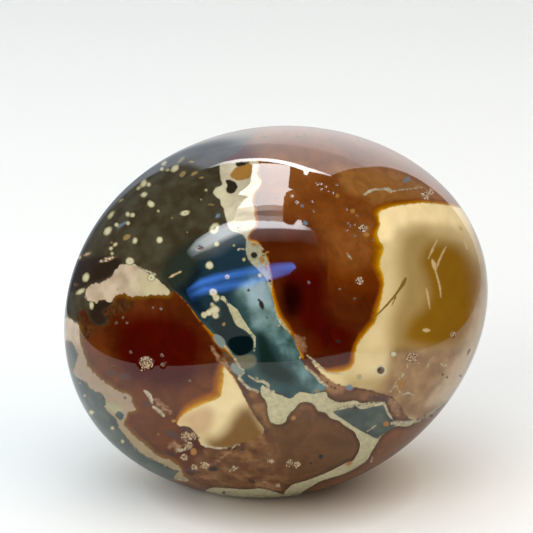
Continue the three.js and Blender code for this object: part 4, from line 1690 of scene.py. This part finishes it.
mirrored_light("cool_strip", "#4A8CFF", [
    [(186, 289, 0), (200, 277.5, 0), (220, 271, 0), (245, 266.5, 0), (270, 262.5, 0),
     (292, 261.5, 0)],
    [(187, 292, 2), (201, 282.3, 13), (221, 276.5, 12), (245, 272.2, 9), (271, 267.5, 8),
     (295, 265.4, 11)],
    [(188, 295, 2), (203, 286, 6), (223, 281.5, 3.5), (247, 277.5, 3), (271, 272, 8), (296, 268, 10)],
    [(190, 298, 2), (205, 289, 13), (224, 286.8, 9), (248, 283.4, 9), (270, 277.5, 8),
     (293, 270.5, 6)],
    [(194, 304, 0), (208, 296, 0), (228, 292.5, 0), (250, 288.5, 0), (270, 282, 0), (289, 275.5, 0)],
])

# %% [markdown]
# ## Lights for the paper and the colours
# Four more things light the paper and the colours of the stone, and none of them shows in the polish:
# a wide cool disk overhead, a low one in front on the left, a warm one on the right and the room's
# plain grey. Their shares were judged by the shadow: how dark it is and how fast it fades.

# %% The soft lights
def soft_light(name, colour, place, size, power):
    """A round lamp that faces the stone and doesn't show in the polish."""
    data = bpy.data.lights.new(name, "AREA")
    data.shape = "DISK"
    data.size = size
    data.energy = power
    data.color = linear(colour)[:3]
    lamp = bpy.data.objects.new(name, data)
    lamp.location = place
    lamp.rotation_euler = Vector(place).to_track_quat("Z", "Y").to_euler()
    lamp.visible_glossy = False
    bpy.context.scene.collection.objects.link(lamp)


soft_light("top_light", "#DAEEFF", place=(-0.10, -0.06, 0.75), size=0.9, power=3.2)
soft_light("front_light", "#FFFCF6", place=(-0.5, -0.6, 0.25), size=0.8, power=5.3)
soft_light("right_light", "#FFD09A", place=(0.65, -0.25, 0.45), size=0.9, power=2.5)
print("lamps:", ", ".join(data.name for data in bpy.data.lights))

# %% [markdown]
# ## The room
# For the plain light on paper and stone the room is one even pale grey. The polish sees more of
# it: a pale wall that stands behind the stone and leans over it, and darkness on the camera's side.

# %% The room's tree
room_strength, wall_strength, dark_strength = 0.48, 2.7, 0.01
world = bpy.data.worlds.new("room")
bpy.context.scene.world = world
world.use_nodes = True
# From here on the helpers above add their nodes to the room's tree.
shader_tree = world.node_tree
shader_tree.nodes.clear()
path = add_node(shader_tree, "ShaderNodeLightPath")
way = add_node(shader_tree, "ShaderNodeTexCoord").outputs["Generated"]
parts = add_node(shader_tree, "ShaderNodeSeparateXYZ", feeds={0: way})
rightward, backward, upward = (parts.outputs[axis] for axis in "XYZ")
print("the room is", room_strength, "and its wall up to", wall_strength)

# %% [markdown]
# ### The leaning wall
# The wall covers every way that looks far enough along one leaning direction. On the right its edge
# draws back, and well inside that edge the wall brightens by one step. Both ends are cut off softly,
# and it is brighter the higher a way looks.

# %% The wall and its ends
wall_lean = (0.498, 1.0, -0.29)
wall_edge = (0.0, 0.03)
step_edge, step_shares = (0.43, 0.455), (0.95, 1.2)
bend_slope, bend_start = -2.9, 0.81
left_end_edge, right_end_edge = (-0.46, -0.4), (0.675, 0.65)
right_end_slant = 0.3
height_range, height_shares = (-0.05, 0.65), (0.28, 1.0)

overhang = add_node(shader_tree, VECTOR, {"operation": "DOT_PRODUCT", 1: wall_lean},
                    {0: way}).outputs["Value"]
step = remap(overhang, *step_edge, *step_shares)
bend = add_node(shader_tree, MATH, {"operation": "MULTIPLY_ADD", 1: bend_slope, 2: bend_start},
                {0: rightward})
bend = add_node(shader_tree, MATH, {"operation": "MINIMUM", 1: 0.0}, {0: bend.outputs[0]})
overhang = add_node(shader_tree, MATH, {"operation": "ADD"},
                    {0: overhang, 1: bend.outputs[0]}).outputs[0]
wall = times(remap(overhang, *wall_edge), remap(rightward, *left_end_edge))
right_end = add_node(shader_tree, MATH, {"operation": "MULTIPLY_ADD", 1: right_end_slant},
                     {0: upward, 2: rightward}).outputs[0]
wall = times(times(wall, remap(right_end, *right_end_edge)), step)
wall = times(wall, remap(upward, *height_range, *height_shares, smooth=False))
print("nodes in the wall:", len(shader_tree.nodes))

# %% [markdown]
# ### Shade and side light
# The left of the wall lies in shade, deeper low down, and is a little blue. A faint light fills the
# rest of the back, stronger on the right, so that the polish doesn't turn black beside the wall.

# %% The shade, the side light and the whole room
left_edge = (-0.1, -0.25)
shade_heights, shade_depths = (0.5, 0.72), (0.55, 0.2)
side_back, side_right, side_strengths = (0.2, 0.6), (0.2, 0.5), (0.1, 0.3)

left = remap(rightward, *left_edge)
shade = remap(upward, *shade_heights, *shade_depths)
wall = times(wall, add_node(shader_tree, MATH, {"operation": "MULTIPLY_ADD", 2: 1.0},
                            {0: times(left, -1.0), 1: shade}).outputs[0])
wall = add_node(shader_tree, MATH, {"operation": "MULTIPLY_ADD", 1: wall_strength, 2: dark_strength},
                {0: wall}).outputs[0]
side = times(remap(backward, *side_back), remap(rightward, *side_right, *side_strengths))
wall = add_node(shader_tree, MATH, {"operation": "MAXIMUM"}, {0: wall, 1: side}).outputs[0]
wall_colour = over("#FFFFFF", "#DCEAFF", left)
plain = add_node(shader_tree, "ShaderNodeBackground",
                 {"Color": linear("#FBFFFF"), "Strength": room_strength})
mirrored = add_node(shader_tree, "ShaderNodeBackground", feeds={"Color": wall_colour, "Strength": wall})
both = add_node(shader_tree, "ShaderNodeMixShader", feeds={
    0: path.outputs["Is Glossy Ray"], 1: plain.outputs[0], 2: mirrored.outputs[0]})
add_node(shader_tree, "ShaderNodeOutputWorld", feeds={"Surface": both.outputs[0]})
bpy.context.scene.view_settings.view_transform = "Standard"
print("nodes in the room:", len(shader_tree.nodes))
